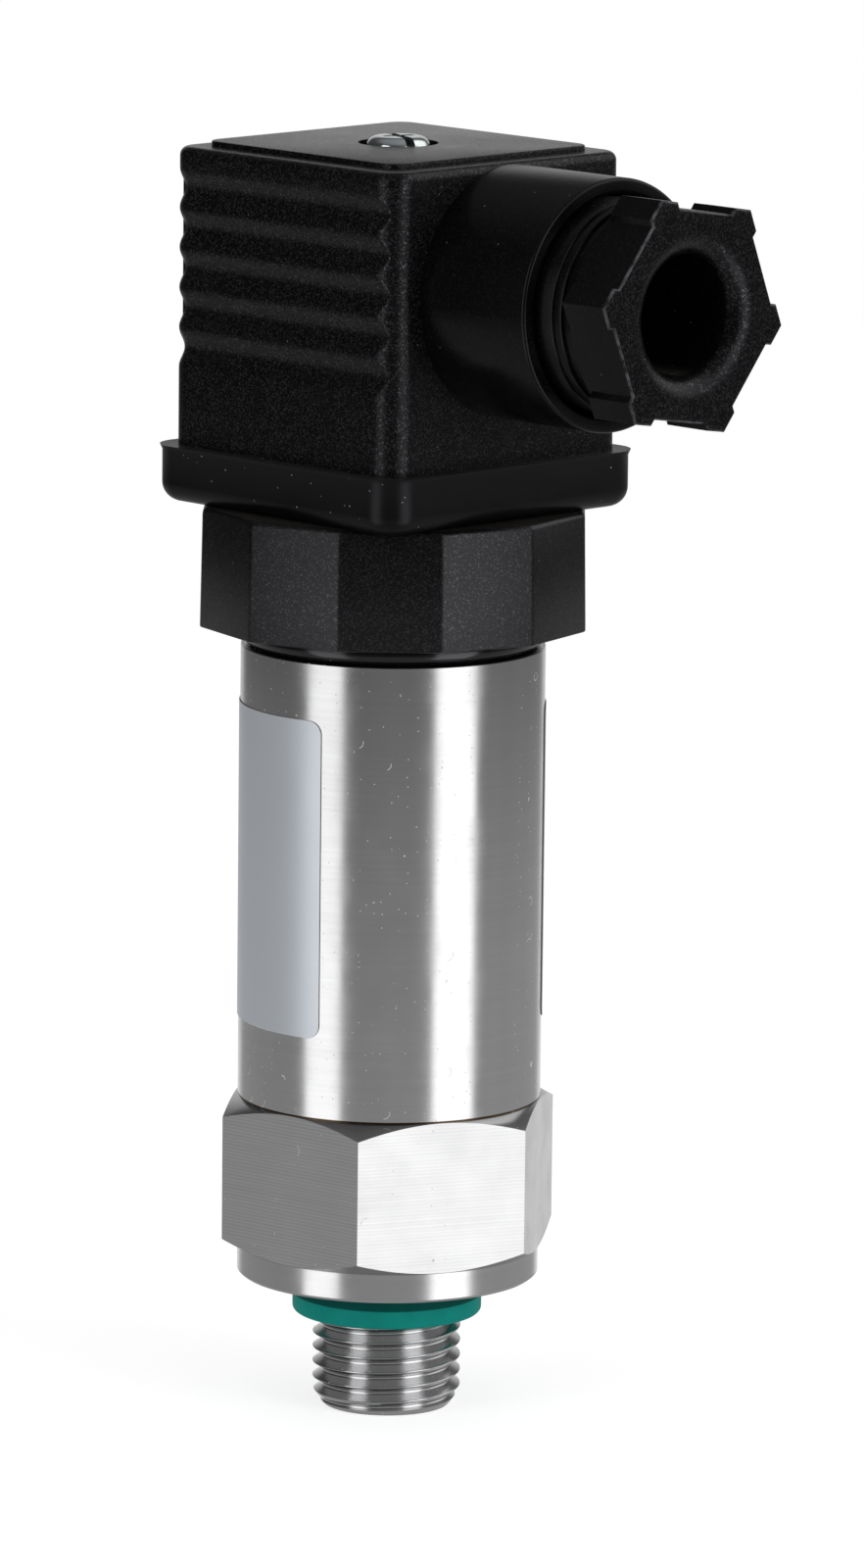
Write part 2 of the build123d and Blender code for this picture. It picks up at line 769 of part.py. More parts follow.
# Thrust washer between the grommet and the nut
with BuildPart() as gland_washer:
    with BuildSketch(gland_plane.offset(grommet_end)):
        Circle(gland_radius)
        Circle(washer_bore / 2, mode=Mode.SUBTRACT)
    extrude(amount=washer_thickness)
save(gland_washer, "gland_washer")

# Gland nut: six-sided body with a raised lobe on each corner, a stepped collar,
# a threaded shank in the barrel and a flared mouth for the cable
neck_radius = nut_neck_diameter / 2
nut_reach = nut_lobe_across_flats
with BuildPart() as gland_nut:
    with BuildSketch(gland_plane.offset(nut_neck_end)):
        RegularPolygon(nut_across_flats / 2, 6, major_radius=False, rotation=nut_turn)
    extrude(amount=nut_end - nut_neck_end)
    with BuildSketch(gland_section):
        with BuildLine():
            Polyline(
                (nut_neck_end, 0),
                (nut_neck_end, neck_radius),
                (nut_neck_end + nut_reach - neck_radius, nut_reach),
                (nut_end + nut_reach, nut_reach),
                (nut_end + nut_reach, 0),
                close=True,
            )
        make_face()
    revolve(axis=gland_axis, mode=Mode.INTERSECT)
    with BuildSketch(gland_plane.offset(nut_lobe_start)):
        with Locations((0, 0)):
            for corner in range(3):
                Rectangle(2 * nut_reach, nut_lobe_width, rotation=nut_turn + 60 * corner)
        RegularPolygon(
            nut_lobe_across_flats / 2,
            6,
            major_radius=False,
            rotation=nut_turn,
            mode=Mode.INTERSECT,
        )
    extrude(amount=nut_end - nut_lobe_start)
    chamfer(gland_nut.edges().group_by(Axis.X)[-1], nut_edge)
    with BuildSketch(gland_plane.offset(nut_collar_end)):
        Circle(neck_radius)
    extrude(amount=nut_lobe_start - nut_collar_end)
    with BuildSketch(gland_plane.offset(nut_collar_end)):
        Circle(nut_step_diameter / 2)
    extrude(amount=nut_step_end - nut_collar_end)
    with BuildSketch(gland_plane.offset(washer_end)):
        Circle(gland_radius)
    extrude(amount=nut_collar_end - washer_end)
    with BuildSketch(gland_plane.offset(washer_end)):
        Circle(nut_bore / 2)
    extrude(amount=nut_end - washer_end, mode=Mode.SUBTRACT)
    mouth = gland_nut.edges().group_by(Axis.X)[-1].filter_by(GeomType.CIRCLE)
    fillet(mouth, nut_flare)
save(gland_nut, "gland_nut")
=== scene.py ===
"""Pressure transmitter with an angled plug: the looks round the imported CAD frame.

Sizes are in metres, in the frame's own axes: +Z runs up the instrument, and the cable entry of the
plug points along +X. Each operator makes one piece, or one group of like pieces.
"""

from math import cos, pi, radians, sin, tan

import bmesh
import bpy
from bpy.props import FloatProperty, FloatVectorProperty, IntProperty, PointerProperty
from mathutils import Matrix, Vector


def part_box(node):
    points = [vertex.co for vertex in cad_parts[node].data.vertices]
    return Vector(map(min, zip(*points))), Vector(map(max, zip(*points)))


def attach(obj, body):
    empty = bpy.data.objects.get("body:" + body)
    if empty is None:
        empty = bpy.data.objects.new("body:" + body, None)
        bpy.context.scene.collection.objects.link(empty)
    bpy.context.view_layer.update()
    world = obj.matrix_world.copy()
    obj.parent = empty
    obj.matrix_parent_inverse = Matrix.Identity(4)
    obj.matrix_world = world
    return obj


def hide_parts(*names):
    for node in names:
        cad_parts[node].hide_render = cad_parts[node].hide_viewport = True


bl_info = {
    "name": "Pressure Transmitter",
    "version": (1, 0, 0),
    "blender": (4, 5, 0),
    "location": "View3D > Sidebar > Transmitter",
    "description": "Builds a pressure transmitter with an angled plug round its CAD frame",
    "category": "Object",
}

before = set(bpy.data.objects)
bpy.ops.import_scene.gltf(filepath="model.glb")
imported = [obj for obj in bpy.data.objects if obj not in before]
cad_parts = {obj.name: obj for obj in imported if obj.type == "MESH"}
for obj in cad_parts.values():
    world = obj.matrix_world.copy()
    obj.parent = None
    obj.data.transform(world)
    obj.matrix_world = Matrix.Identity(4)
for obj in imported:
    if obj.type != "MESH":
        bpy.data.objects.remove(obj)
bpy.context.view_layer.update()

MM = 0.001
TINY = 1e-6
ROUND_STEPS = 192
ROD_STEPS = 96
SMOOTH_ANGLE = radians(32)
QUARTER = radians(90)
QUARTER_STEPS = 8
# Crest rounding of a thread, as a share of its root rounding
CREST_SHARE = 0.45
# How far a solid reaches past what it cuts, or into what it joins
OVER = MM


def ends(node, axis=2):
    """Lowest and highest place of a node of the frame along one axis"""
    low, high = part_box(node)
    return low[axis], high[axis]


def reach(node, axis=0):
    """Highest place of a node of the frame along one axis"""
    return ends(node, axis)[1]


# Places read from the frame
stud_end, spigot_top = ends("process_connection")
ring_bottom = ends("stud_sealing_ring")[0]
ring_radius = reach("stud_sealing_ring")
tube_bottom, tube_top = ends("body_tube")
tube_radius = reach("body_tube")
label_bottom, label_top = ends("type_label")
seal_bottom, seal_top = ends("tube_seal")
seal_radius = reach("tube_seal")
cap_foot, plinth_top = ends("connector_cap")
cap_vertex_radius = reach("connector_cap")
gasket_bottom, gasket_top = ends("plug_gasket")
gasket_half = reach("plug_gasket", 1)
housing_bottom, panel_top = ends("plug_housing")
plug_half = reach("plug_housing", 1)
barrel_end = reach("plug_housing")
nut_back, nut_end = ends("gland_nut", 0)
gland_height = sum(ends("gland_nut")) / 2
insert_bottom = ends("threaded_insert")[0]
insert_radius = reach("threaded_insert")
screw_bottom, screw_top = ends("centre_screw")
screw_head_radius = reach("centre_screw")


class StudSizes(bpy.types.PropertyGroup):
    """Sizes of the threaded stud, the collar and the spanner hexagon"""

    pitch: FloatProperty(
        name="Thread Pitch", description="Distance from one crest to the next",
        default=1.337 * MM, unit="LENGTH",
    )
    across_flats: FloatProperty(
        name="Across Flats", description="Width of the spanner hexagon",
        default=27 * MM, unit="LENGTH",
    )
    hex_turn: FloatProperty(
        name="Hexagon Turn", description="Turn of the hexagon about the instrument's axis",
        default=radians(6.3), unit="ROTATION",
    )
    steel: FloatVectorProperty(
        name="Steel", description="Colour of the turned stainless steel",
        default=(0.5, 0.5, 0.505), subtype="COLOR",
    )
    ring: FloatVectorProperty(
        name="Sealing Ring", description="Colour of the elastomer ring on the stud",
        default=(0.01, 0.34, 0.29), subtype="COLOR",
    )


class BodySizes(bpy.types.PropertyGroup):
    """Sizes and colours of the tube, its label and the cap"""

    label_span: FloatProperty(
        name="Label Span", description="Angle of the tube that the label covers",
        default=radians(249), unit="ROTATION",
    )
    label_start: FloatProperty(
        name="Label Start", description="Angle at which the label starts",
        default=radians(39.7), unit="ROTATION",
    )
    label_corner: FloatProperty(
        name="Label Corner", description="Radius of the label's corners",
        default=1.2 * MM, unit="LENGTH",
    )
    label: FloatVectorProperty(
        name="Label", description="Colour of the label's film",
        default=(0.68, 0.72, 0.77), subtype="COLOR",
    )
    cap_sides: IntProperty(
        name="Cap Sides", description="Number of sides of the cap", default=12, min=6
    )
    cap_draft: FloatProperty(
        name="Cap Draft", description="Draft angle of the cap's sides",
        default=radians(1), unit="ROTATION",
    )


class PlugSizes(bpy.types.PropertyGroup):
    """Sizes and colours of the plug, its gasket and its cable gland"""

    groove_count: IntProperty(
        name="Grooves", description="Number of wavy grooves on each grip side", default=5, min=0
    )
    groove_pitch: FloatProperty(
        name="Groove Pitch", description="Distance between two grooves",
        default=3.5 * MM, unit="LENGTH",
    )
    groove_depth: FloatProperty(
        name="Groove Depth", description="Depth of the grooves", default=0.5 * MM, unit="LENGTH"
    )
    nut_turn: FloatProperty(
        name="Nut Turn", description="Turn of the gland nut about its own axis",
        default=radians(51.4), unit="ROTATION",
    )
    plastic: FloatVectorProperty(
        name="Plastic", description="Colour of the moulded black plastic",
        default=(0.0022, 0.0022, 0.0026), subtype="COLOR",
    )
    rubber: FloatVectorProperty(
        name="Rubber", description="Colour of the black rubber",
        default=(0.0022, 0.0022, 0.0025), subtype="COLOR",
    )


class StageSettings(bpy.types.PropertyGroup):
    """Light and floor of the stage"""

    floor: FloatVectorProperty(
        name="Floor", description="Colour of the floor",
        default=(0.86, 0.86, 0.86), subtype="COLOR",
    )
    floor_lift: FloatProperty(
        name="Floor Lift", description="How much the camera sees the floor lifted towards white",
        default=0.62, min=0,
    )
    soft_light: FloatProperty(
        name="Soft Light", description="Radiance of the two soft boxes", default=1.65, min=0
    )
    room_light: FloatProperty(
        name="Room Light", description="Strength of the even light from all round",
        default=0.4, min=0,
    )
    near_room: FloatProperty(
        name="Near Room", description="What polished faces see of the floor beside the object",
        default=0.44, min=0,
    )
    dim_room: FloatProperty(
        name="Dim Room", description="What polished faces see of the room", default=0.1, min=0
    )
    backdrop: FloatProperty(
        name="Backdrop", description="What polished faces see of the white backdrop",
        default=0.55, min=0,
    )
    high_light: FloatProperty(
        name="High Light",
        description="What polished faces see of a soft lamp high on the gland's side",
        default=1.3, min=0,
    )
    top_light: FloatProperty(
        name="Top Light", description="What polished faces see of the ceiling's soft light",
        default=0.2, min=0,
    )


# Modelling helpers


def mode(name):
    bpy.ops.object.mode_set(mode=name)


def select_all(action="SELECT"):
    bpy.ops.mesh.select_all(action=action)


def deselect():
    """Leaves edit mode and deselects everything"""
    if bpy.context.object and bpy.context.object.mode != "OBJECT":
        mode("OBJECT")
    bpy.ops.object.select_all(action="DESELECT")


def settle(name):
    """Names the new primitive and moves its place and size into its mesh"""
    piece = bpy.context.object
    piece.name = piece.data.name = name
    bpy.ops.object.transform_apply(location=True, rotation=True, scale=True)
    return piece


def activate(piece):
    deselect()
    piece.select_set(True)
    bpy.context.view_layer.objects.active = piece


def modify(piece, name, kind, **settings):
    """Adds a modifier to the active piece and applies it"""
    modifier = piece.modifiers.new(name, kind)
    for setting, value in settings.items():
        setattr(modifier, setting, value)
    bpy.ops.object.modifier_apply(modifier=modifier.name)


def pick(kind, test):
    """In edit mode, selects the vertices by their places, the edges by the places of both ends, or
    the faces by their middles and normals"""
    bpy.ops.mesh.select_mode(type=kind)
    select_all("DESELECT")
    mesh = bpy.context.object.data
    model = bmesh.from_edit_mesh(mesh)
    if kind == "VERT":
        for vertex in model.verts:
            vertex.select = bool(test(vertex.co))
    elif kind == "EDGE":
        for edge in model.edges:
            edge.select = bool(test(*(v.co for v in edge.verts)))
    else:
        for face in model.faces:
            face.select = bool(test(face.calc_center_median(), face.normal))
    model.select_flush_mode()
    bmesh.update_edit_mesh(mesh)


def bevel_where(piece, test, width, segments):
    """Bevels the edges of a piece that pass the test"""
    activate(piece)
    mode("EDIT")
    pick("EDGE", test)
    bpy.ops.mesh.bevel(offset=width, offset_type="OFFSET", segments=segments, affect="EDGES")
    mode("OBJECT")


def upright(a, b):
    return abs(a.x - b.x) < TINY and abs(a.y - b.y) < TINY


def level_at(height, axis=2):
    return lambda a, b: abs(a[axis] - height) < TINY and abs(b[axis] - height) < TINY


def scale_about(centre, x=1, y=1, z=1):
    """In edit mode, scales what is selected about a point"""
    bpy.ops.transform.resize(value=(x, y, z), center_override=centre)


def cut_across(place, direction, **clear):
    """In edit mode, cuts the whole piece at one plane"""
    select_all()
    bpy.ops.mesh.bisect(plane_co=place, plane_no=direction, threshold=TINY / 10, **clear)


def cut_level(height, **clear):
    cut_across((0, 0, height), (0, 0, 1), **clear)


def spin(piece, angle):
    """Turns the mesh of a piece about the instrument's axis"""
    piece.data.transform(Matrix.Rotation(angle, 4, "Z"))


def lay_down(piece, along=0.0):
    """Moves the mesh of a piece onto the gland's axis: Z goes to X, X to Y and Y to Z"""
    turning = ((0, 0, 1, along), (1, 0, 0, 0), (0, 1, 0, gland_height), (0, 0, 0, 1))
    piece.data.transform(Matrix(turning))


def block(name, low, high, corner=0.0, corner_steps=8):
    """Adds a block between two corner points, with rounded upright edges"""
    deselect()
    low, high = Vector(low), Vector(high)
    bpy.ops.mesh.primitive_cube_add(size=1, location=(low + high) / 2, scale=high - low)
    piece = settle(name)
    if corner:
        bevel_where(piece, upright, corner, corner_steps)
    return piece


def square_block(name, half, bottom, top, corner=0.0, corner_steps=8):
    return block(name, (-half, -half, bottom), (half, half, top), corner, corner_steps)


def turned(name, profile, along="Z", closed=False, steps=ROUND_STEPS):
    """Adds a turned solid: a circle is extruded and scaled from point to point of its profile.
    A profile point is (radius, height). An open profile gets a flat cap at each end."""
    upwards = along == "Z"

    def centre(height):
        return (0, 0, height) if upwards else (height, 0, gland_height)

    deselect()
    radius, height = profile[0]
    lie = (0, 0 if upwards else QUARTER, 0)
    bpy.ops.mesh.primitive_circle_add(
        vertices=steps, radius=radius, location=centre(height), rotation=lie
    )
    piece = settle(name)
    mode("EDIT")
    bpy.ops.mesh.select_mode(type="EDGE")
    select_all()
    extrude = bpy.ops.mesh.extrude_edges_move if closed else bpy.ops.mesh.extrude_region_move
    if not closed:
        bpy.ops.mesh.edge_face_add()
        select_all()
    for new_radius, new_height in profile[1:] + (profile[:1] if closed else []):
        rise = new_height - height
        shift = (0, 0, rise) if upwards else (rise, 0, 0)
        extrude(TRANSFORM_OT_translate={"value": shift})
        grow = new_radius / radius
        if abs(grow - 1) > TINY:
            x, z = (grow, 1) if upwards else (1, grow)
            scale_about(centre(new_height), x, grow, z)
        radius, height = new_radius, new_height
    select_all()
    bpy.ops.mesh.remove_doubles(threshold=TINY)
    bpy.ops.mesh.normals_make_consistent(inside=False)
    mode("OBJECT")
    return piece


def rod(name, radius, low, high, along="Z", steps=ROD_STEPS):
    return turned(name, [(radius, low), (radius, high)], along, steps=steps)


def quarter():
    """Sines and cosines of the steps of a quarter turn"""
    angles = [QUARTER * step / QUARTER_STEPS for step in range(QUARTER_STEPS + 1)]
    return [(sin(angle), cos(angle)) for angle in angles]


def prism(name, across_flats, sides, turn, low, high, along="Z"):
    """Adds a straight prism with flat sides, turned about its axis"""
    deselect()
    middle = (low + high) / 2
    bpy.ops.mesh.primitive_cylinder_add(
        vertices=sides, radius=across_flats / 2 / cos(pi / sides), depth=high - low,
        location=(0, 0, middle if along == "Z" else 0),
    )
    piece = settle(name)
    # The first vertex of a cylinder points along +Y
    spin(piece, turn - QUARTER)
    if along == "X":
        lay_down(piece, middle)
    return piece


def round_end(piece, end, radius, segments):
    """Rounds the edges at the far end of a piece that lies along X"""
    bevel_where(piece, level_at(end, 0), radius, segments)
    return piece


def combine(piece, other, how):
    """Adds another solid to a piece, or cuts it away, or keeps what they share"""
    activate(piece)
    modify(piece, "Combine", "BOOLEAN", operation=how, object=other, solver="EXACT")
    bpy.data.objects.remove(other)
    if not piece.data.polygons:
        raise RuntimeError(f"{piece.name} is empty after {how}")
    return piece


def cut(piece, *others):
    for other in others:
        combine(piece, other, "DIFFERENCE")


def join(piece, *others):
    for other in others:
        combine(piece, other, "UNION")


def threaded_rod(
    name, radius, pitch, depth, rounding, flank, low, high, chamfer, lag=0.0, steps=ROUND_STEPS
):
    """Adds a rod with a right-hand thread: one pitch of its outline, repeated and screwed upwards,
    then cut level. The chamfer at its lower end leaves the root"""
    sweep = QUARTER - flank
    arc = [sweep * (step / 3 - 1) for step in range(7)]
    root = radius - depth
    sharp = rounding * CREST_SHARE
    outline = [(root + rounding - rounding * cos(a), rounding * sin(a)) for a in arc]
    outline += [(radius - sharp + sharp * cos(a), pitch / 2 + sharp * sin(a)) for a in arc]
    outline.append((outline[0][0], outline[0][1] + pitch))
    start = low - 2 * pitch - lag
    deselect()
    bpy.ops.mesh.primitive_plane_add(size=pitch, location=(outline[0][0], 0, start + outline[0][1]))
    piece = settle(name)
    mode("EDIT")
    bpy.ops.mesh.select_mode(type="VERT")
    select_all()
    bpy.ops.mesh.merge(type="CENTER")
    for (r0, z0), (r1, z1) in zip(outline, outline[1:]):
        bpy.ops.mesh.extrude_vertices_move(TRANSFORM_OT_translate={"value": (r1 - r0, 0, z1 - z0)})
    mode("OBJECT")
    merged = {"use_merge_vertices": True, "merge_threshold": TINY}
    modify(
        piece, "Repeat", "ARRAY", use_relative_offset=False, use_constant_offset=True,
        constant_offset_displace=(0, 0, pitch), count=int((high - low) / pitch) + 4, **merged,
    )
    modify(piece, "Helix", "SCREW", screw_offset=pitch, steps=steps, render_steps=steps, **merged)
    mode("EDIT")
    select_all()
    bpy.ops.mesh.remove_doubles(threshold=TINY)
    for height, is_low in ((low - pitch / 2, True), (high + pitch / 2, False)):
        cut_level(height, clear_inner=is_low, clear_outer=not is_low)
        pick("EDGE", level_at(height))
        bpy.ops.mesh.edge_face_add()
    select_all()
    bpy.ops.mesh.normals_make_consistent(inside=False)
    mode("OBJECT")
    # The blank clears the crests, dips under the root at both ends and starts with a short cone
    clear, dip, cone = 0.02 * MM, 0.05 * MM, 0.1 * MM
    over = radius + clear
    relief = root - dip
    blank = [(root - cone, low), (root + clear, low + cone), (over, low + cone + chamfer)]
    blank += [(over, high - over + relief), (relief, high)]
    return combine(piece, turned("blank", blank, steps=steps), "INTERSECT")


def finish_piece(piece, body, nodes, material):
    """Smooths a piece, gives it its material and its place on a body of the frame"""
    activate(piece)
    piece.data.materials.clear()
    piece.data.materials.append(material)
    bpy.ops.object.shade_smooth_by_angle(angle=SMOOTH_ANGLE)
    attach(piece, body)
    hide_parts(*nodes)
    deselect()
    return piece


# Materials

# Colours that come on top of a piece's own
STEEL_DUST = (0.75, 0.7, 0.6)
PLASTIC_DUST = (0.5, 0.48, 0.45)
RUBBER_DUST = (0.55, 0.53, 0.5)
# Tops of black pieces: partly dust, partly painted sheen
TOP_DUST_AND_SHEEN_ON_PLASTIC = (0.051, 0.048, 0.043)
TOP_DUST_AND_SHEEN_ON_RUBBER = (0.032, 0.03, 0.027)
# Painted highlight on the gland nut's front edge
PAINTED_EDGE_HIGHLIGHT = (0.1, 0.1, 0.107)
BROWN_STAIN = (0.2, 0.15, 0.1)
# Painted shadow line along the label's edge
PAINTED_LABEL_EDGE_SHADOW = (0.16, 0.13, 0.1)
# Painted shadow of the collar on the sealing ring
PAINTED_COLLAR_SHADOW = (0.0, 0.03, 0.026)
PASSIVATION = (0.68, 0.7, 0.66)
COOL_SHEEN = (0.95, 0.93, 1.0, 1)
# Nearly all of a noise lies between these values
NOISE_LOW, NOISE_HIGH = 0.3, 0.7


def scaled(colour, factor):
    return tuple(min(1, channel * factor) for channel in colour)


class Nodes:
    """A node tree in the making"""

    def __init__(self, tree):
        self.tree = tree
        self.place = None

    def node(self, kind, inputs=None, **settings):
        made = self.tree.nodes.new("ShaderNode" + kind)
        for name, value in settings.items():
            setattr(made, name, value)
        for name, value in (inputs or {}).items():
            if isinstance(value, bpy.types.NodeSocket):
                self.tree.links.new(value, made.inputs[name])
            else:
                made.inputs[name].default_value = value
        return made

    def math(self, operation, a, b=0.0):
        return self.node("Math", {0: a, 1: b}, operation=operation).outputs[0]

    def add(self, a, b):
        return self.math("ADD", a, b)

    def times(self, a, b):
        return self.math("MULTIPLY", a, b)

    def most(self, a, b):
        return self.math("MAXIMUM", a, b)

    def size(self, a):
        return self.math("ABSOLUTE", a)

    def under(self, a, b):
        """1 where a is less than b, 0 elsewhere"""
        return self.math("LESS_THAN", a, b)

    def over(self, a, b):
        return self.math("GREATER_THAN", a, b)

    def vector(self, operation, a, b=(0, 0, 0), output="Vector"):
        return self.node("VectorMath", {0: a, 1: b}, operation=operation).outputs[output]

    def dot(self, a, b):
        return self.vector("DOT_PRODUCT", a, b, "Value")

    def length(self, a):
        return self.vector("LENGTH", a, output="Value")

    def part(self, vector, axis):
        return self.node("SeparateXYZ", {0: vector}).outputs[axis]

    def off_axis(self, across, centre=(0, 0, 0)):
        """Distance from a line through the centre, measured across it"""
        offset = self.vector("SUBTRACT", self.place, centre)
        return self.length(self.vector("MULTIPLY", offset, across))

    def spread(self, value, low, high, to_low=0.0, to_high=1.0, blend="LINEAR"):
        """Maps a value from one range to another, and holds it there"""
        ranges = {"Value": value, "From Min": low, "From Max": high}
        ranges.update({"To Min": to_low, "To Max": to_high})
        return self.node("MapRange", ranges, interpolation_type=blend).outputs["Result"]

    def shade(self, noise, low=0.0, high=1.0):
        """Maps a noise to a range"""
        return self.spread(noise, NOISE_LOW, NOISE_HIGH, low, high)

    def noise(self, scale, detail=2.0, roughness=0.5, place=None):
        inputs = {"Scale": scale, "Detail": detail, "Roughness": roughness}
        return self.node("TexNoise", {"Vector": place or self.place, **inputs}).outputs["Fac"]

    def cells(self, spacing):
        return self.node("TexVoronoi", {"Vector": self.place, "Scale": 1 / spacing}).outputs

    def chance(self, cells):
        """A number from 0 to 1 for each cell"""
        return self.node("SeparateColor", {0: cells["Color"]}).outputs[0]

    def mix(self, factor, a, b):
        """Mixes two colours"""
        values = {0: factor}
        for name, colour in ((6, a), (7, b)):
            values[name] = colour if isinstance(colour, bpy.types.NodeSocket) else (*colour, 1)
        return self.node("Mix", values, data_type="RGBA").outputs[2]


class Recipe(Nodes):
    """A material in the making: its shader and the nodes that lead to it"""

    def __init__(self, name, colour, roughness, metallic=0.0, specular=0.5):
        self.material = bpy.data.materials.new(name)
        self.material.use_nodes = True
        self.material.diffuse_color = (*colour, 1)
        super().__init__(self.material.node_tree)
        self.shader = self.tree.nodes["Principled BSDF"]
        self.set("Base Color", (*colour, 1))
        self.set("Roughness", roughness)
        self.set("Metallic", metallic)
        self.set("Specular IOR Level", specular)
        self.place = self.node("TexCoord").outputs["Object"]

    def set(self, socket, value):
        if isinstance(value, bpy.types.NodeSocket):
            self.tree.links.new(value, self.shader.inputs[socket])
        else:
            self.shader.inputs[socket].default_value = value

    def stretched(self, scale):
        """Object coordinates times a scale for each axis, in waves per metre"""
        return self.node("Mapping", {"Vector": self.place, "Scale": scale}).outputs["Vector"]

    def tones(self, value, colour, dark, light):
        """Two tones of a colour, mixed by a value from 0 to 1"""
        return self.mix(value, scaled(colour, dark), scaled(colour, light))

    def below(self, axis, place):
        """1 where a coordinate is below a place, 0 elsewhere"""
        return self.under(self.part(self.place, axis), place)

    def above(self, axis, place):
        return self.over(self.part(self.place, axis), place)

    def normal(self, axis):
        """How far the surface faces along an axis, from -1 to 1"""
        return self.part(self.node("NewGeometry").outputs["Normal"], axis)

    def facing(self, axis, least):
        """1 where the surface faces along an axis by more than that"""
        return self.over(self.normal(axis), least)

    def dust_and_sheen_on_top(self, tone, colour):
        """Warms and lightens the faces that look up: partly fine dust lying there, partly painted
        sheen where they catch the light
        """
        patch, sharpness = 0.3 * MM, 40.0
        # Partly dust, partly painted sheen on the faces that look up
        level = self.math("POWER", self.most(self.normal(2), 0.0), sharpness)
        patchy = self.spread(self.noise(1 / patch, 3.0, 0.8), 0.35, 0.65, 0.3, 1.6)
        return self.mix(self.times(level, patchy), tone, colour)

    def dusted(self, tone, dust, cover, colour):
        self.set("Base Color", self.mix(self.times(dust, cover), tone, colour))

    def bump(self, height, distance):
        """Gives the surface its relief"""
        inputs = {"Height": height, "Distance": distance, "Strength": 1.0}
        self.set("Normal", self.node("Bump", inputs).outputs["Normal"])

    def fibres(self, spacing, length, thickness, share):
        """Short curved fibres, in that share of cells of that spacing"""
        curl = 0.9
        cells = self.cells(spacing)
        offset = self.vector("SUBTRACT", self.place, cells["Position"])
        lean = self.vector("NORMALIZE", self.vector("SUBTRACT", cells["Color"], (0.5, 0.5, 0.5)))
        away = self.length(offset)
        bow = self.times(self.times(away, away), curl / length)
        beside = self.size(self.math("SUBTRACT", self.dot(offset, lean), bow))
        thread = self.times(self.under(beside, thickness / 2), self.under(away, length / 2))
        return self.times(thread, self.under(self.chance(cells), share))

    def specks(self, spacing, size, share):
        """Dots of a size, in that share of cells of that spacing"""
        cells = self.cells(spacing)
        near = self.under(cells["Distance"], size / spacing)
        return self.times(near, self.under(self.chance(cells), share))


def steel_finish(name, colour, flats=None, dust=1.0, stain=None):
    """Turned stainless steel: fine rings round the axis, cloudy polish, a little dust. Between the
    two heights flats, upright faces carry the level lines of the milling cutter. Under the height
    stain it is brown"""
    roughness, groove, ring_depth = 0.2, 0.11 * MM, 0.0002 * MM
    line_pitch, cutter_pitch = 0.26 * MM, 0.3 * MM
    steel = Recipe(name, colour, roughness, metallic=1.0)
    rings = steel.noise(1.0, 2.0, 0.7, steel.stretched((15, 15, 1 / groove)))
    clouds = steel.noise(250, detail=3.0)
    lines = steel.noise(1.0, 2.0, 0.6, steel.stretched((30, 30, 1 / line_pitch)))
    tone = steel.tones(steel.shade(lines), colour, 0.975, 1.02)
    if flats:
        height = steel.part(steel.place, 2)
        between = steel.math("COMPARE", height, sum(flats) / 2)
        between.node.inputs[2].default_value = (flats[1] - flats[0]) / 2
        milled = steel.times(steel.under(steel.size(steel.normal(2)), 0.05), between)
        wave = steel.math("SINE", steel.times(height, 2 * pi / cutter_pitch))
        ragged = steel.add(wave, steel.noise(1.0, 3.0, 0.6, steel.stretched((60, 60, 5200))))
        # The score lines are deeper on the flats that face sideways. Painted shade: the flats that
        # face the front are painted darker than those that face sideways, by how far each faces
        # sideways
        sideways = steel.size(steel.normal(1))
        depth = steel.times(milled, steel.spread(sideways, 0.45, 0.9, 0.03, 0.09))
        painted_flat_shade = steel.spread(sideways, 0.45, 0.9, 0.84, 1.1)
        scores = steel.times(steel.spread(ragged, -0.6, 1.7, -1.0, 0.8), depth)
        shade = steel.add(steel.spread(milled, 0, 1, 1.0, painted_flat_shade), scores)
        tone = steel.vector("MULTIPLY", tone, shade)
        rings = steel.times(rings, steel.spread(milled, 0, 1, 1.0, 0.15))
    fine = steel.specks(spacing=0.5 * MM, size=0.065 * MM, share=0.2 * dust)
    coarse = steel.specks(spacing=1.7 * MM, size=0.1 * MM, share=0.15 * dust)
    fibres = steel.fibres(spacing=2.4 * MM, length=MM, thickness=0.07 * MM, share=0.2 * dust)
    dirt = steel.most(steel.most(fine, coarse), fibres)
    if stain:
        tone = steel.mix(steel.below(2, stain), tone, BROWN_STAIN)
    steel.dusted(tone, dirt, 0.7, STEEL_DUST)
    steel.set("Metallic", steel.math("SUBTRACT", 1.0, steel.times(dirt, 0.8)))
    steel.set("Roughness", steel.shade(clouds, roughness * 0.85, roughness * 1.2))
    steel.bump(rings, ring_depth)
    return steel.material


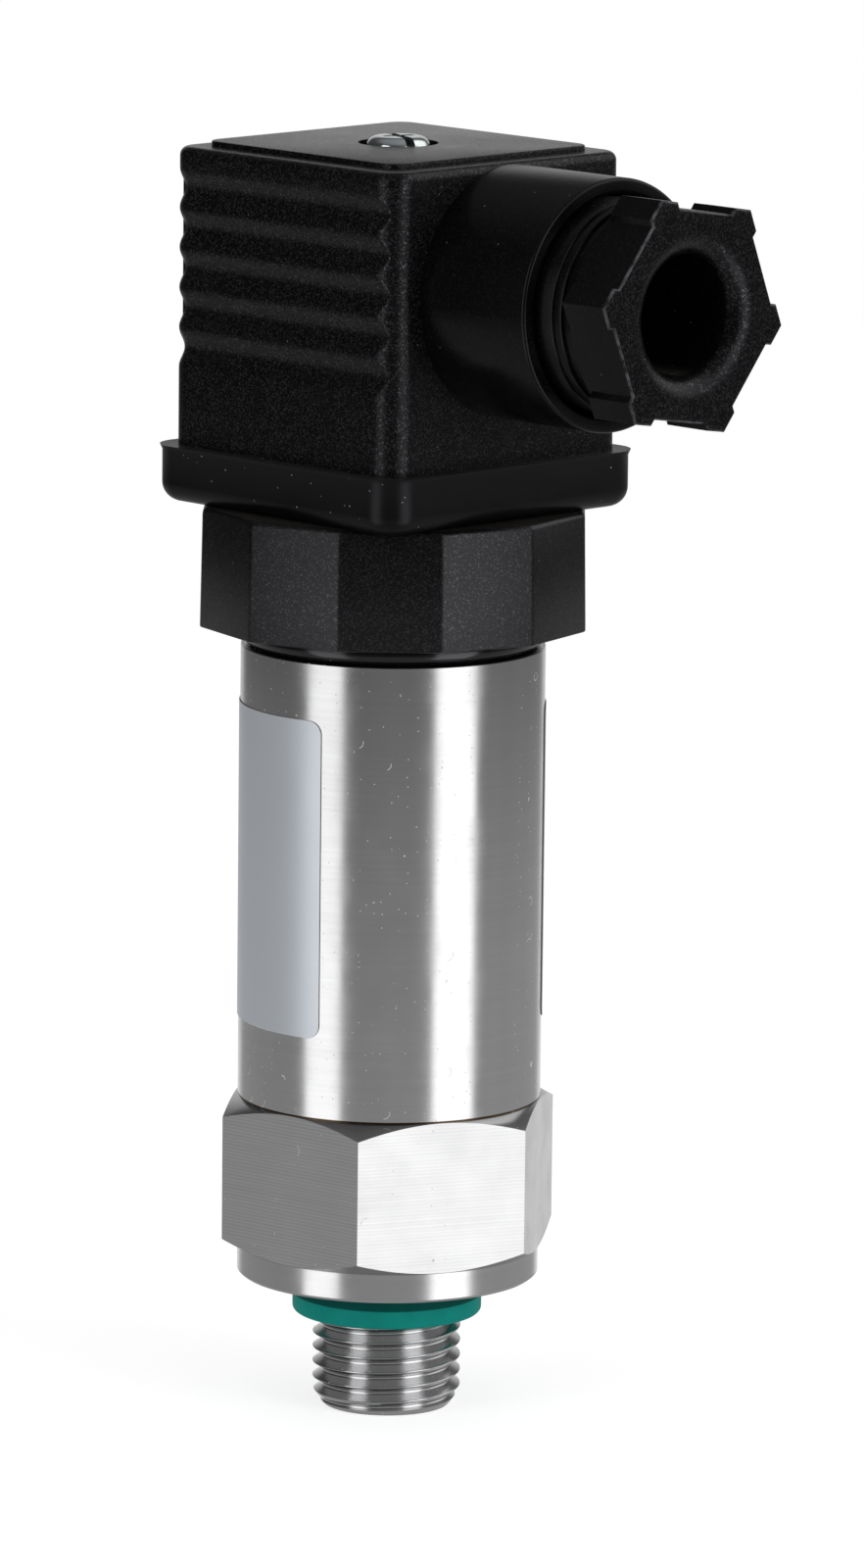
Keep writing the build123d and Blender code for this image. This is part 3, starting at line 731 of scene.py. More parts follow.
def grained_plastic(
    name, colour, depth, roughness, gloss=0.17, glitter=0.078, grain=0.12 * MM,
    coarse=None, bright=None,
):
    """Black plastic with a spark-eroded grain, some of whose grains glint. Where coarse gives a
    mask, it is satin outside it. Where bright gives a mask, an edge gets a painted highlight"""
    rarity = 7.0
    plastic = Recipe(name, colour, roughness, specular=gloss)
    plastic.set("Specular Tint", COOL_SHEEN)
    relief = plastic.noise(1 / grain, 2.0, 0.6)
    glint = plastic.math("POWER", plastic.chance(plastic.cells(grain)), rarity)
    if coarse:
        mask = coarse(plastic)
        relief = plastic.times(relief, plastic.spread(mask, 0, 1, 0.08, 1.0))
        glint = plastic.times(glint, plastic.spread(mask, 0, 1, 0.1, 1.0))
    tone = plastic.mix(glint, colour, (glitter, glitter, 1.05 * glitter))
    if bright:
        # Painted highlight along the edge that bright marks, broken up by a noise
        highlight_breaks = plastic.spread(plastic.noise(900, 3.0), 0.35, 0.65)
        tone = plastic.mix(plastic.times(bright(plastic), highlight_breaks), tone, PAINTED_EDGE_HIGHLIGHT)
    tone = plastic.dust_and_sheen_on_top(tone, TOP_DUST_AND_SHEEN_ON_PLASTIC)
    specks = plastic.specks(spacing=MM, size=0.06 * MM, share=0.1)
    plastic.dusted(tone, specks, 0.35, PLASTIC_DUST)
    sheen = plastic.spread(plastic.noise(120), 0.35, 0.65, roughness * 0.92, roughness * 1.1)
    plastic.set("Roughness", sheen)
    plastic.set("Metallic", glint)
    plastic.bump(relief, depth)
    return plastic.material


def rubber_finish(name, colour, roughness=0.35, specular=0.18, dust_share=0.22):
    """Smooth moulded rubber with pale dust on it"""
    rubber = Recipe(name, colour, roughness, specular=specular)
    rubber.set("Specular Tint", COOL_SHEEN)
    clouds = rubber.noise(300, detail=3.0)
    fine = rubber.specks(spacing=0.6 * MM, size=0.065 * MM, share=dust_share)
    coarse = rubber.specks(spacing=1.9 * MM, size=0.1 * MM, share=dust_share)
    tone = rubber.tones(rubber.shade(clouds), colour, 1.0, 1.5)
    tone = rubber.dust_and_sheen_on_top(tone, TOP_DUST_AND_SHEEN_ON_RUBBER)
    rubber.dusted(tone, rubber.most(fine, coarse), 0.5, RUBBER_DUST)
    rubber.set("Roughness", rubber.shade(clouds, roughness * 0.9, roughness * 1.15))
    rubber.bump(rubber.noise(3500, detail=2.0), distance=0.002 * MM)
    return rubber.material


def label_finish(colour, surface):
    """Satin silvery film. Below the radius surface, on its cut edge, it is painted dark brown: a
    painted shadow line along the label's edge
    """
    film = Recipe("label_film", colour, 0.42, metallic=0.5, specular=0.4)
    clouds = film.noise(60, detail=3.0)
    edge = film.under(film.off_axis((1, 1, 0)), surface)
    # The film's edge carries a painted shadow line
    film.set("Base Color", film.mix(edge, film.tones(clouds, colour, 0.97, 1.03), PAINTED_LABEL_EDGE_SHADOW))
    film.set("Metallic", film.spread(edge, 0, 1, 0.5, 0.0))
    film.set("Roughness", film.shade(clouds, 0.38, 0.46))
    film.bump(film.noise(1200, detail=2.0), distance=0.0008 * MM)
    return film.material


def zinc_finish(name, colour=(0.55, 0.63, 0.69), roughness=0.15):
    """Bright zinc with a bluish passivation"""
    zinc = Recipe(name, colour, roughness, metallic=1.0)
    clouds = zinc.noise(900, detail=3.0)
    zinc.set("Base Color", zinc.mix(zinc.shade(clouds), colour, PASSIVATION))
    zinc.set("Roughness", zinc.shade(clouds, roughness * 0.7, roughness * 1.5))
    zinc.bump(zinc.noise(2500, detail=3.0), distance=0.006 * MM)
    return zinc.material


def ring_finish(colour, collar_shadow_height):
    """Matt elastomer. Above the height where the collar shades it, it is painted dark: a painted
    shadow
    """
    ring = Recipe("ring_elastomer", colour, 0.5, specular=0.05)
    tone = ring.tones(ring.shade(ring.noise(500, 3.0)), colour, 0.93, 1.07)
    height = ring.part(ring.place, 2)
    # Painted shadow: the ring is darkened above the height where the collar shades it
    collar_shadow = ring.spread(height, collar_shadow_height - 0.1 * MM, collar_shadow_height, 0.0, 0.8)
    ring.set("Base Color", ring.mix(collar_shadow, tone, PAINTED_COLLAR_SHADOW))
    ring.bump(ring.noise(2600, detail=3.0), distance=0.004 * MM)
    return ring.material


def plain_finish(name, colour, roughness, metallic=0.0, scale=800, relief=0.003, tint=1.25):
    """Finish of an inner piece: its colour clouded, with a fine relief"""
    inner = Recipe(name, colour, roughness, metallic)
    clouds = inner.noise(scale, 4.0, 0.6)
    inner.set("Base Color", inner.tones(inner.shade(clouds), colour, 1.0, tint))
    inner.set("Roughness", inner.shade(clouds, roughness * 0.85, min(1, roughness * 1.15)))
    inner.bump(clouds, relief * MM)
    return inner.material


# Operators: one for each piece or group of like pieces


class TRANSMITTER_OT_process_connection(bpy.types.Operator):
    """Makes the threaded stud with its collar and spanner hexagon"""

    bl_idname = "transmitter.process_connection"
    bl_label = "Process Connection"

    collar_radius = 13.35 * MM
    collar_height = 2.55 * MM
    hexagon_slope = tan(radians(30))
    edge = 0.25 * MM
    relief_radius = 5.65 * MM
    relief_length = 2.8 * MM
    thread_radius = 6.5785 * MM
    thread_depth = 0.856 * MM
    thread_rounding = 0.1836 * MM
    thread_flank = radians(27.5)
    stud_chamfer = 1.3 * MM
    thread_lag = 0.45 * MM
    spigot_radius = 12.15 * MM
    chamber_radius = 9.2 * MM
    seat_height = 10 * MM
    groove_outer = 7.25 * MM
    groove_inner = 4.75 * MM
    groove_depth = 1.4 * MM
    port_radius = 2.5 * MM

    def execute(self, context):
        sizes = context.scene.transmitter_stud
        # A little past the corners of the hexagon
        outside = 0.6 * sizes.across_flats
        lower_rise = (outside - self.collar_radius) * self.hexagon_slope
        upper_rise = (outside - tube_radius) * self.hexagon_slope
        groove_floor = self.seat_height - self.groove_depth
        profile = [
            (self.relief_radius, stud_end / 2), (self.relief_radius, 0),
            (self.collar_radius - self.edge, 0), (self.collar_radius, self.edge),
            (self.collar_radius, self.collar_height), (outside, self.collar_height + lower_rise),
            (outside, tube_bottom - upper_rise), (tube_radius, tube_bottom),
            (self.spigot_radius, tube_bottom), (self.spigot_radius, spigot_top),
            (self.chamber_radius, spigot_top), (self.chamber_radius, self.seat_height),
            (self.groove_outer, self.seat_height), (self.groove_outer, groove_floor),
            (self.groove_inner, groove_floor), (self.groove_inner, self.seat_height),
        ]
        piece = turned("process_connection_threaded", profile)
        top = spigot_top + self.edge
        hexagon = prism("hexagon", sizes.across_flats, 6, sizes.hex_turn, stud_end, top)
        combine(piece, hexagon, "INTERSECT")
        stud = threaded_rod(
            "stud", self.thread_radius, sizes.pitch, self.thread_depth, self.thread_rounding,
            self.thread_flank, stud_end, -self.relief_length, self.stud_chamfer, self.thread_lag,
        )
        join(piece, stud)
        cut(piece, rod("port", self.port_radius, stud_end - OVER, self.seat_height + OVER))
        flats = (self.collar_height, tube_bottom)
        finish = steel_finish("steel_turned", tuple(sizes.steel), flats, dust=0.35)
        finish_piece(piece, "instrument", ["process_connection"], finish)
        return {"FINISHED"}


class TRANSMITTER_OT_sealing_ring(bpy.types.Operator):
    """Makes the elastomer ring on the stud. Where the collar shades it, it is painted dark"""

    bl_idname = "transmitter.sealing_ring"
    bl_label = "Sealing Ring"

    bore_radius = 6.6985 * MM
    lower_round = 0.45 * MM
    upper_round = 0.3 * MM
    slope_height = 0.9 * MM
    slope_width = 0.35 * MM
    collar_shadow_height = -1.9 * MM

    def outer(self, height):
        """Tests whether an edge lies at a height, on the outside"""
        middle = (self.bore_radius + ring_radius) / 2
        level = level_at(height)
        return lambda a, b: level(a, b) and a.xy.length > middle and b.xy.length > middle

    def execute(self, context):
        profile = [
            (self.bore_radius, ring_bottom), (ring_radius, ring_bottom),
            (ring_radius, -self.slope_height), (ring_radius - self.slope_width, 0),
            (self.bore_radius, 0),
        ]
        piece = turned("stud_ring_moulded", profile, closed=True)
        bevel_where(piece, self.outer(ring_bottom), self.lower_round, 6)
        bevel_where(piece, self.outer(-self.slope_height), self.upper_round, 4)
        finish = ring_finish(tuple(context.scene.transmitter_stud.ring), self.collar_shadow_height)
        finish_piece(piece, "instrument", ["stud_sealing_ring"], finish)
        return {"FINISHED"}


class TRANSMITTER_OT_body_tube(bpy.types.Operator):
    """Makes the turned steel tube and the seal on its upper rim"""

    bl_idname = "transmitter.body_tube"
    bl_label = "Body Tube"

    wall = 1.2 * MM
    edge = 0.08 * MM
    brown_edge = 0.12 * MM
    flattened = 0.93
    seal_colour = (0.006, 0.006, 0.006)

    def execute(self, context):
        steel = tuple(context.scene.transmitter_stud.steel)
        inner = tube_radius - self.wall
        rim = tube_radius - self.edge
        profile = [
            (inner, tube_bottom), (rim, tube_bottom), (tube_radius, tube_bottom + self.edge),
            (tube_radius, tube_top - self.edge), (rim, tube_top), (inner, tube_top),
        ]
        piece = turned("body_tube_turned", profile, closed=True)
        finish = steel_finish("steel_tube", steel, dust=1.6, stain=tube_bottom + self.brown_edge)
        finish_piece(piece, "instrument", ["body_tube"], finish)

        # The seal starts as a torus, and is flattened where the cap and the rim press on it
        deselect()
        section = (seal_top - seal_bottom) / 2
        middle = (seal_top + seal_bottom) / 2
        bpy.ops.mesh.primitive_torus_add(
            major_segments=ROUND_STEPS, minor_segments=32, location=(0, 0, middle),
            major_radius=seal_radius - section, minor_radius=section,
        )
        seal = settle("tube_seal_bead")
        mode("EDIT")
        for side in (-1, 1):
            plane = middle + side * section * self.flattened
            pick("VERT", lambda co: side * (co.z - plane) > 0)
            scale_about((0, 0, plane), z=0)
        mode("OBJECT")
        gloss = rubber_finish("seal_rubber", self.seal_colour, 0.16, 0.5, 0.05)
        finish_piece(seal, "instrument", ["tube_seal"], gloss)
        return {"FINISHED"}


class TRANSMITTER_OT_type_label(bpy.types.Operator):
    """Makes the plain label round the tube"""

    bl_idname = "transmitter.type_label"
    bl_label = "Label"

    thickness = 0.1 * MM
    columns = 180
    corner_steps = 8

    def execute(self, context):
        sizes = context.scene.transmitter_body
        deselect()
        width = tube_radius * sizes.label_span
        bpy.ops.mesh.primitive_plane_add(size=1, location=(0, 0, 0), rotation=(QUARTER, 0, 0))
        bpy.context.object.scale = (width, label_top - label_bottom, 1)
        piece = settle("type_label_bare")
        mode("EDIT")
        select_all()
        corner = {"offset": sizes.label_corner, "segments": self.corner_steps}
        bpy.ops.mesh.bevel(affect="VERTICES", **corner)
        for column in range(1, self.columns):
            cut_across(((column / self.columns - 0.5) * width, 0, 0), (1, 0, 0))
        mode("OBJECT")
        bend = {"deform_method": "BEND", "deform_axis": "Z", "angle": sizes.label_span}
        modify(piece, "Wrap", "SIMPLE_DEFORM", **bend)
        # The film now lies round the point (0, tube_radius), with its middle at the origin
        mode("EDIT")
        select_all()
        bpy.ops.transform.translate(value=(0, -tube_radius, (label_top + label_bottom) / 2))
        mode("OBJECT")
        spin(piece, sizes.label_start + sizes.label_span / 2 + QUARTER)
        modify(piece, "Film", "SOLIDIFY", thickness=self.thickness, offset=1)
        faces = piece.data.polygons
        if sum(face.normal.xy @ face.center.xy * face.area for face in faces) < 0:
            raise RuntimeError("the label is inside out")
        finish = label_finish(tuple(sizes.label), tube_radius + 0.9 * self.thickness)
        finish_piece(piece, "instrument", ["type_label"], finish)
        return {"FINISHED"}


class TRANSMITTER_OT_connector_cap(bpy.types.Operator):
    """Makes the many-sided cap with its plinth and its spigot in the tube"""

    bl_idname = "transmitter.connector_cap"
    bl_label = "Connector Cap"

    rim_bevel = 0.45 * MM
    foot_bevel = 0.15 * MM
    corner_round = 0.25 * MM
    web_bottom = 65.5 * MM
    spigot_radius = 12.15 * MM
    spigot_bore = 10.5 * MM
    seal_seat = 11.4 * MM
    plinth_half = 10.4 * MM
    plinth_corner = 2.0 * MM
    plinth_bevel = 0.2 * MM
    boss_radius = 4.0 * MM

    def execute(self, context):
        sizes = context.scene.transmitter_body
        across_flats = 2 * cap_vertex_radius * cos(pi / sizes.cap_sides)
        height = gasket_bottom - seal_top
        heights = (seal_top, gasket_bottom)
        cap = prism("connector_cap_moulded", across_flats, sizes.cap_sides, 0, *heights)
        mode("EDIT")
        pick("FACE", lambda middle, normal: normal.z > 0.9)
        drawn_in = 1 - 2 * height * tan(sizes.cap_draft) / across_flats
        scale_about((0, 0, gasket_bottom), drawn_in, drawn_in)
        mode("OBJECT")
        bevel_where(cap, lambda a, b: abs(a.z - b.z) > height / 2, self.corner_round, 3)
        bevel_where(cap, level_at(gasket_bottom), self.rim_bevel, 3)
        bevel_where(cap, level_at(seal_top), self.foot_bevel, 2)
        plinth = square_block(
            "plinth", self.plinth_half, seal_top + OVER, plinth_top, self.plinth_corner
        )
        bevel_where(plinth, level_at(plinth_top), self.plinth_bevel, 3)
        join(cap, plinth)
        spigot = [(self.spigot_radius, cap_foot), (self.spigot_radius, tube_top)]
        spigot += [(self.seal_seat, tube_top), (self.seal_seat, seal_top + OVER)]
        join(cap, turned("spigot", spigot))
        hollow = (self.spigot_bore, cap_foot - OVER, self.web_bottom)
        cut(cap, rod("hollow", *hollow, steps=ROUND_STEPS))
        join(cap, rod("boss", self.boss_radius, insert_bottom, self.web_bottom + OVER))
        cut(cap, rod("insert_hole", insert_radius, insert_bottom - OVER, plinth_top + OVER))
        plastic = tuple(context.scene.transmitter_plug.plastic)
        finish = grained_plastic(
            "cap_plastic", plastic,
            depth=0.011 * MM, roughness=0.3, gloss=0.29, glitter=0.07, grain=0.1 * MM,
        )
        finish_piece(cap, "instrument", ["connector_cap"], finish)
        return {"FINISHED"}


class TRANSMITTER_OT_plug_gasket(bpy.types.Operator):
    """Makes the square rubber gasket round the foot of the plug"""

    bl_idname = "transmitter.plug_gasket"
    bl_label = "Plug Gasket"

    corner = 3.0 * MM
    corner_steps = 16
    web = 1.5 * MM
    foot_round = 1.7 * MM
    lip = 0.16 * MM
    lip_height = 0.45 * MM
    plug_corner = 2.3 * MM
    opening_half = 10.7 * MM
    opening_height = 2.0 * MM

    def execute(self, context):
        steps = self.corner_steps
        piece = square_block(
            "plug_gasket_moulded", gasket_half, gasket_bottom, gasket_top, self.corner, steps
        )
        bevel_where(piece, level_at(gasket_bottom), self.foot_round, 10)
        mode("EDIT")
        cut_level(gasket_top - self.lip_height)
        pick("VERT", lambda co: abs(co.z - gasket_top) < TINY)
        flared = 1 + self.lip / gasket_half
        scale_about((0, 0, gasket_top), flared, flared)
        mode("OBJECT")
        heights = (gasket_bottom + self.web, gasket_top + OVER)
        cut(piece, square_block("pocket", plug_half, *heights, self.plug_corner, steps))
        heights = (gasket_bottom - OVER, gasket_bottom + self.opening_height)
        cut(piece, square_block("opening", self.opening_half, *heights, self.plug_corner))
        finish = rubber_finish("gasket_rubber", tuple(context.scene.transmitter_plug.rubber))
        finish_piece(piece, "plug", ["plug_gasket"], finish)
        return {"FINISHED"}


class TRANSMITTER_OT_plug_housing(bpy.types.Operator):
    """Makes the square housing with its wavy grip grooves, raised panel and gland barrel"""

    bl_idname = "transmitter.plug_housing"
    bl_label = "Plug Housing"

    corner = 2.3 * MM
    top_round = 0.8 * MM
    panel_half = 11.95 * MM
    panel_height = 0.5 * MM
    panel_corner = 1.6 * MM
    panel_edge = 0.12 * MM
    groove_top = 96.4 * MM
    levels_per_groove = 14
    barrel_radius = 10.95 * MM
    barrel_edge = 0.3 * MM
    bore_radius = 9.6 * MM
    bore_floor = 14.2 * MM
    cable_hole = 6.5 * MM
    cavity_half = 12.2 * MM
    cavity_top = 96.3 * MM
    block_top = 84.3 * MM
    post_width = 3.2 * MM
    screw_boss = 3.4 * MM
    screw_hole = 1.8 * MM
    recess_radius = 3.5 * MM
    recess_floor = 98.3 * MM
    grain_margin = 0.1 * MM

    def wave_grooves(self, sizes):
        """In edit mode, cuts rings round the housing, and moves each onto the wavy face on three
        sides and two corners"""
        pitch, depth = sizes.groove_pitch, sizes.groove_depth
        top = self.groove_top + pitch / 2
        steps = sizes.groove_count * self.levels_per_groove
        heights = [top - step * pitch / self.levels_per_groove for step in range(steps + 1)]
        for height in heights:
            cut_level(height)
        turning = plug_half - self.corner
        for height in heights[1:-1]:
            inset = depth * (1 - cos(2 * pi * (top - height) / pitch)) / 2
            face = plug_half - inset
            drawn_in = 1 - inset / self.corner

            def level(co):
                return abs(co.z - height) < TINY

            for side in (-1, 1):
                pick(
                    "VERT",
                    lambda co: level(co) and co.x < TINY - turning and side * co.y > turning - TINY,
                )
                scale_about((-turning, side * turning, height), drawn_in, drawn_in)
            for axis, side in ((0, -1), (1, -1), (1, 1)):
                pick("VERT", lambda co: level(co) and side * co[axis] > face + TINY)
                flat = [1, 1, 1]
                flat[axis] = 0
                centre = [0, 0, height]
                centre[axis] = side * face
                scale_about(centre, *flat)

    def hollow_out(self, piece):
        """Cuts the cavity and the bores, and adds the posts and the boss inside"""
        block_top, roof = self.block_top, self.cavity_top + OVER
        cut(piece, square_block("cavity", self.cavity_half, housing_bottom - OVER, self.cavity_top))
        near, far = self.cavity_half - self.post_width, self.cavity_half + OVER
        for across, along in ((1, 1), (1, -1), (-1, 1), (-1, -1)):
            xs, ys = sorted((across * near, across * far)), sorted((along * near, along * far))
            join(piece, block("post", (xs[0], ys[0], block_top), (xs[1], ys[1], roof)))
        join(piece, rod("boss", self.screw_boss, block_top, roof))
        mouth, lip = self.bore_radius + self.barrel_edge, barrel_end - self.barrel_edge
        bore = [(self.bore_radius, self.bore_floor), (self.bore_radius, lip)]
        bore += [(mouth, barrel_end), (mouth, barrel_end + OVER)]
        cable = (self.cable_hole, self.cavity_half - OVER, self.bore_floor + OVER)
        cut(
            piece,
            turned("bore", bore, "X"),
            rod("cable_hole", *cable, "X"),
            rod("well", self.recess_radius, self.recess_floor, panel_top + OVER),
            rod("hole", self.screw_hole, block_top - OVER, self.recess_floor + OVER),
        )

    def execute(self, context):
        sizes = context.scene.transmitter_plug
        body_top = panel_top - self.panel_height
        piece = square_block(
            "plug_housing_moulded", plug_half, housing_bottom, body_top, self.corner, 24
        )
        bevel_where(piece, level_at(body_top), self.top_round, 8)
        mode("EDIT")
        self.wave_grooves(sizes)
        mode("OBJECT")
        panel = square_block(
            "panel", self.panel_half, body_top - OVER, panel_top, self.panel_corner, 12
        )
        bevel_where(panel, level_at(panel_top), self.panel_edge, 2)
        join(piece, panel)
        barrel = rod("barrel", self.barrel_radius, self.cavity_half, barrel_end, "X", ROUND_STEPS)
        join(piece, round_end(barrel, barrel_end, self.barrel_edge, 4))
        self.hollow_out(piece)
        finish = grained_plastic(
            "housing_plastic", tuple(sizes.plastic), depth=0.03 * MM, roughness=0.25,
            coarse=lambda made: made.below(0, plug_half + self.grain_margin),
        )
        finish_piece(piece, "plug", ["plug_housing"], finish)
        return {"FINISHED"}


class TRANSMITTER_OT_centre_screw(bpy.types.Operator):
    """Makes the screw that holds the plug: domed head, slot, cross recess and thread"""

    bl_idname = "transmitter.centre_screw"
    bl_label = "Centre Screw"

    shank_radius = 1.5 * MM
    thread_pitch = 0.5 * MM
    thread_depth = 0.3 * MM
    thread_rounding = 0.05 * MM
    thread_flank = radians(30)
    threaded_to = 74 * MM
    tip_chamfer = 0.4 * MM
    head_height = 2.2 * MM
    head_round = 1.0 * MM
    head_edge = 0.1 * MM
    slot_width = 0.8 * MM
    slot_depth = 1.1 * MM
    cross_width = 0.7 * MM
    cross_length = 2.8 * MM
    slot_turn = radians(-20)

    def execute(self, context):
        head_bottom = screw_top - self.head_height
        dome = [(self.shank_radius, self.threaded_to), (self.shank_radius, head_bottom)]
        dome.append((screw_head_radius - self.head_edge, head_bottom))
        dome.append((screw_head_radius, head_bottom + self.head_edge))
        curve = self.head_round
        flat = screw_head_radius - curve
        dome += [(flat + curve * c, screw_top - curve * (1 - s)) for s, c in quarter()]
        piece = turned("centre_screw_slotted", dome, steps=ROD_STEPS)
        thread = threaded_rod(
            "thread", self.shank_radius, self.thread_pitch, self.thread_depth,
            self.thread_rounding, self.thread_flank, screw_bottom,
            self.threaded_to + self.thread_depth, self.tip_chamfer, steps=48,
        )
        join(piece, thread)
        for length, width, turn in (
            (3 * screw_head_radius, self.slot_width, self.slot_turn),
            (self.cross_length, self.cross_width, self.slot_turn + QUARTER),
        ):
            low = (-length / 2, -width / 2, screw_top - self.slot_depth)
            slot = block("slot", low, (length / 2, width / 2, screw_top + OVER))
            spin(slot, turn)
            cut(piece, slot)
        finish = zinc_finish("screw_zinc_bright")
        finish_piece(piece, "centre_screw", ["centre_screw"], finish)
        return {"FINISHED"}


class TRANSMITTER_OT_gland_nut(bpy.types.Operator):
    """Makes the gland nut: six sides, a lobe on each corner, a round collar and a flared mouth"""

    bl_idname = "transmitter.gland_nut"
    bl_label = "Gland Nut"

    shank_radius = 9.3 * MM
    collar_end = 28.5 * MM
    step_radius = 9.1 * MM
    step_end = 29.4 * MM
    neck_radius = 8.8 * MM
    neck_end = 30.2 * MM
    across_flats = 17.9 * MM
    lobe_flats = 19.0 * MM
    lobe_width = 3.5 * MM
    lobe_start = 31.3 * MM
    bore_radius = 5.1 * MM
    flare = 2.1 * MM
    edge = 0.2 * MM
    step_edge = 0.1 * MM
    rim_margin = 0.1 * MM
    face_margin = 0.01 * MM

    def outer_edge(self, made):
        """1 on the rounded edge round the front face, where the painted highlight goes, 0 elsewhere
        """
        radius = made.off_axis((0, 1, 1), (0, 0, gland_height))
        outside = made.over(radius, self.bore_radius + self.flare + self.rim_margin)
        face = nut_end - self.face_margin
        rounded = made.times(made.above(0, nut_end - self.edge), made.below(0, face))
        return made.times(outside, rounded)

    def coarse_front(self, made):
        return made.times(made.facing(0, 0.4), made.above(0, nut_end - self.flare))

    def lobe(self, turn, corner):
        """Makes the lobe on one corner, as high as the outline of the lobes allows"""
        half = self.lobe_width / 2
        lobe = block("lobe", (0, -half, self.lobe_start), (self.lobe_flats, half, nut_end))
        bevel_where(lobe, level_at(nut_end), self.edge, 3)
        spin(lobe, turn + radians(60) * corner)
        lay_down(lobe)
        start = self.lobe_start - OVER
        outline = prism("outline", self.lobe_flats, 6, turn, start, nut_end, "X")
        return combine(lobe, round_end(outline, nut_end, self.edge, 3), "INTERSECT")

    def execute(self, context):
        turn = context.scene.transmitter_plug.nut_turn
        start = self.neck_end - OVER
        piece = prism("gland_nut_moulded", self.across_flats, 6, turn, start, nut_end, "X")
        round_end(piece, nut_end, self.edge, 3)
        cone = self.lobe_flats
        envelope = [(self.neck_radius, start), (self.neck_radius, self.neck_end)]
        envelope += [(self.neck_radius + cone, end + cone) for end in (self.neck_end, nut_end)]
        combine(piece, turned("envelope", envelope, "X"), "INTERSECT")
        for corner in range(6):
            join(piece, self.lobe(turn, corner))
        back = self.collar_end - OVER
        join(piece, rod("neck", self.neck_radius, back, self.lobe_start, "X", ROUND_STEPS))
        for name, radius, low, end in (
            ("step", self.step_radius, back, self.step_end),
            ("shank", self.shank_radius, nut_back, self.collar_end),
        ):
            ring = rod(name, radius, low, end, "X", ROUND_STEPS)
            join(piece, round_end(ring, end, self.step_edge, 2))
        bore, flare = self.bore_radius, self.flare
        mouth = [(bore, nut_back - OVER)]
        mouth += [(bore + flare * (1 - c), nut_end - flare * (1 - s)) for s, c in quarter()]
        mouth.append((bore + flare, nut_end + OVER))
        cut(piece, turned("mouth", mouth, "X"))
        # The front edge gets a painted highlight
        finish = grained_plastic(
            "nut_plastic", tuple(context.scene.transmitter_plug.plastic),
            depth=0.016 * MM, roughness=0.26, coarse=self.coarse_front, bright=self.outer_edge,
        )
        finish_piece(piece, "gland_nut", ["gland_nut"], finish)
        return {"FINISHED"}


class TRANSMITTER_OT_inner_pieces(bpy.types.Operator):
    """Gives the pieces inside, which keep the frame's own shapes, their finishes"""

    bl_idname = "transmitter.inner_pieces"
    bl_label = "Inner Pieces"

    brass = (0.62, 0.45, 0.2)

    def execute(self, context):
        zinc = zinc_finish("screw_zinc")
        seal = rubber_finish("inner_rubber", (0.012, 0.012, 0.012), 0.5, 0.4, 0.05)
        tin = plain_finish("contact_metal", (0.66, 0.66, 0.64), 0.3, 1.0, 1500, 0.002, 1.1)
        finishes = {
            "cell_seal": seal,
            "screw_seal": seal,
            "gland_grommet": seal,
            "measuring_cell": plain_finish("cell_ceramic", (0.78, 0.76, 0.7), 0.45, tint=1.06),
            "cell_clamp_ring": plain_finish("clamp_brass", self.brass, 0.3, 1.0, 1200),
            "cell_pins": tin,
            "board_holder": plain_finish("holder_plastic", (0.5, 0.5, 0.48), 0.5, scale=1500),
            "circuit_board": plain_finish(
                "board_laminate", (0.01, 0.13, 0.05), 0.35, scale=2200, tint=1.5
            ),
            "circuit_components": plain_finish(
                "component_plastic", (0.02, 0.02, 0.022), 0.45, scale=1500, tint=1.8
            ),
            "lead_wires": plain_finish("wire_plastic", (0.5, 0.08, 0.05), 0.4, scale=1500),
            "threaded_insert": plain_finish("insert_brass", self.brass, 0.28, 1.0, 1400),
            "signal_blades": tin,
            "earth_blade": tin,
            "female_contacts": tin,
            "terminal_block": plain_finish(
                "block_plastic", (0.02, 0.02, 0.021), 0.45, scale=2500, tint=1.6
            ),
            "terminal_screws": zinc,
            "gland_washer": plain_finish(
                "washer_plastic", (0.03, 0.03, 0.031), 0.35, scale=2000, tint=1.5
            ),
        }
        for node, material in finishes.items():
            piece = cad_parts[node]
            piece.data.materials.clear()
            piece.data.materials.append(material)
        return {"FINISHED"}


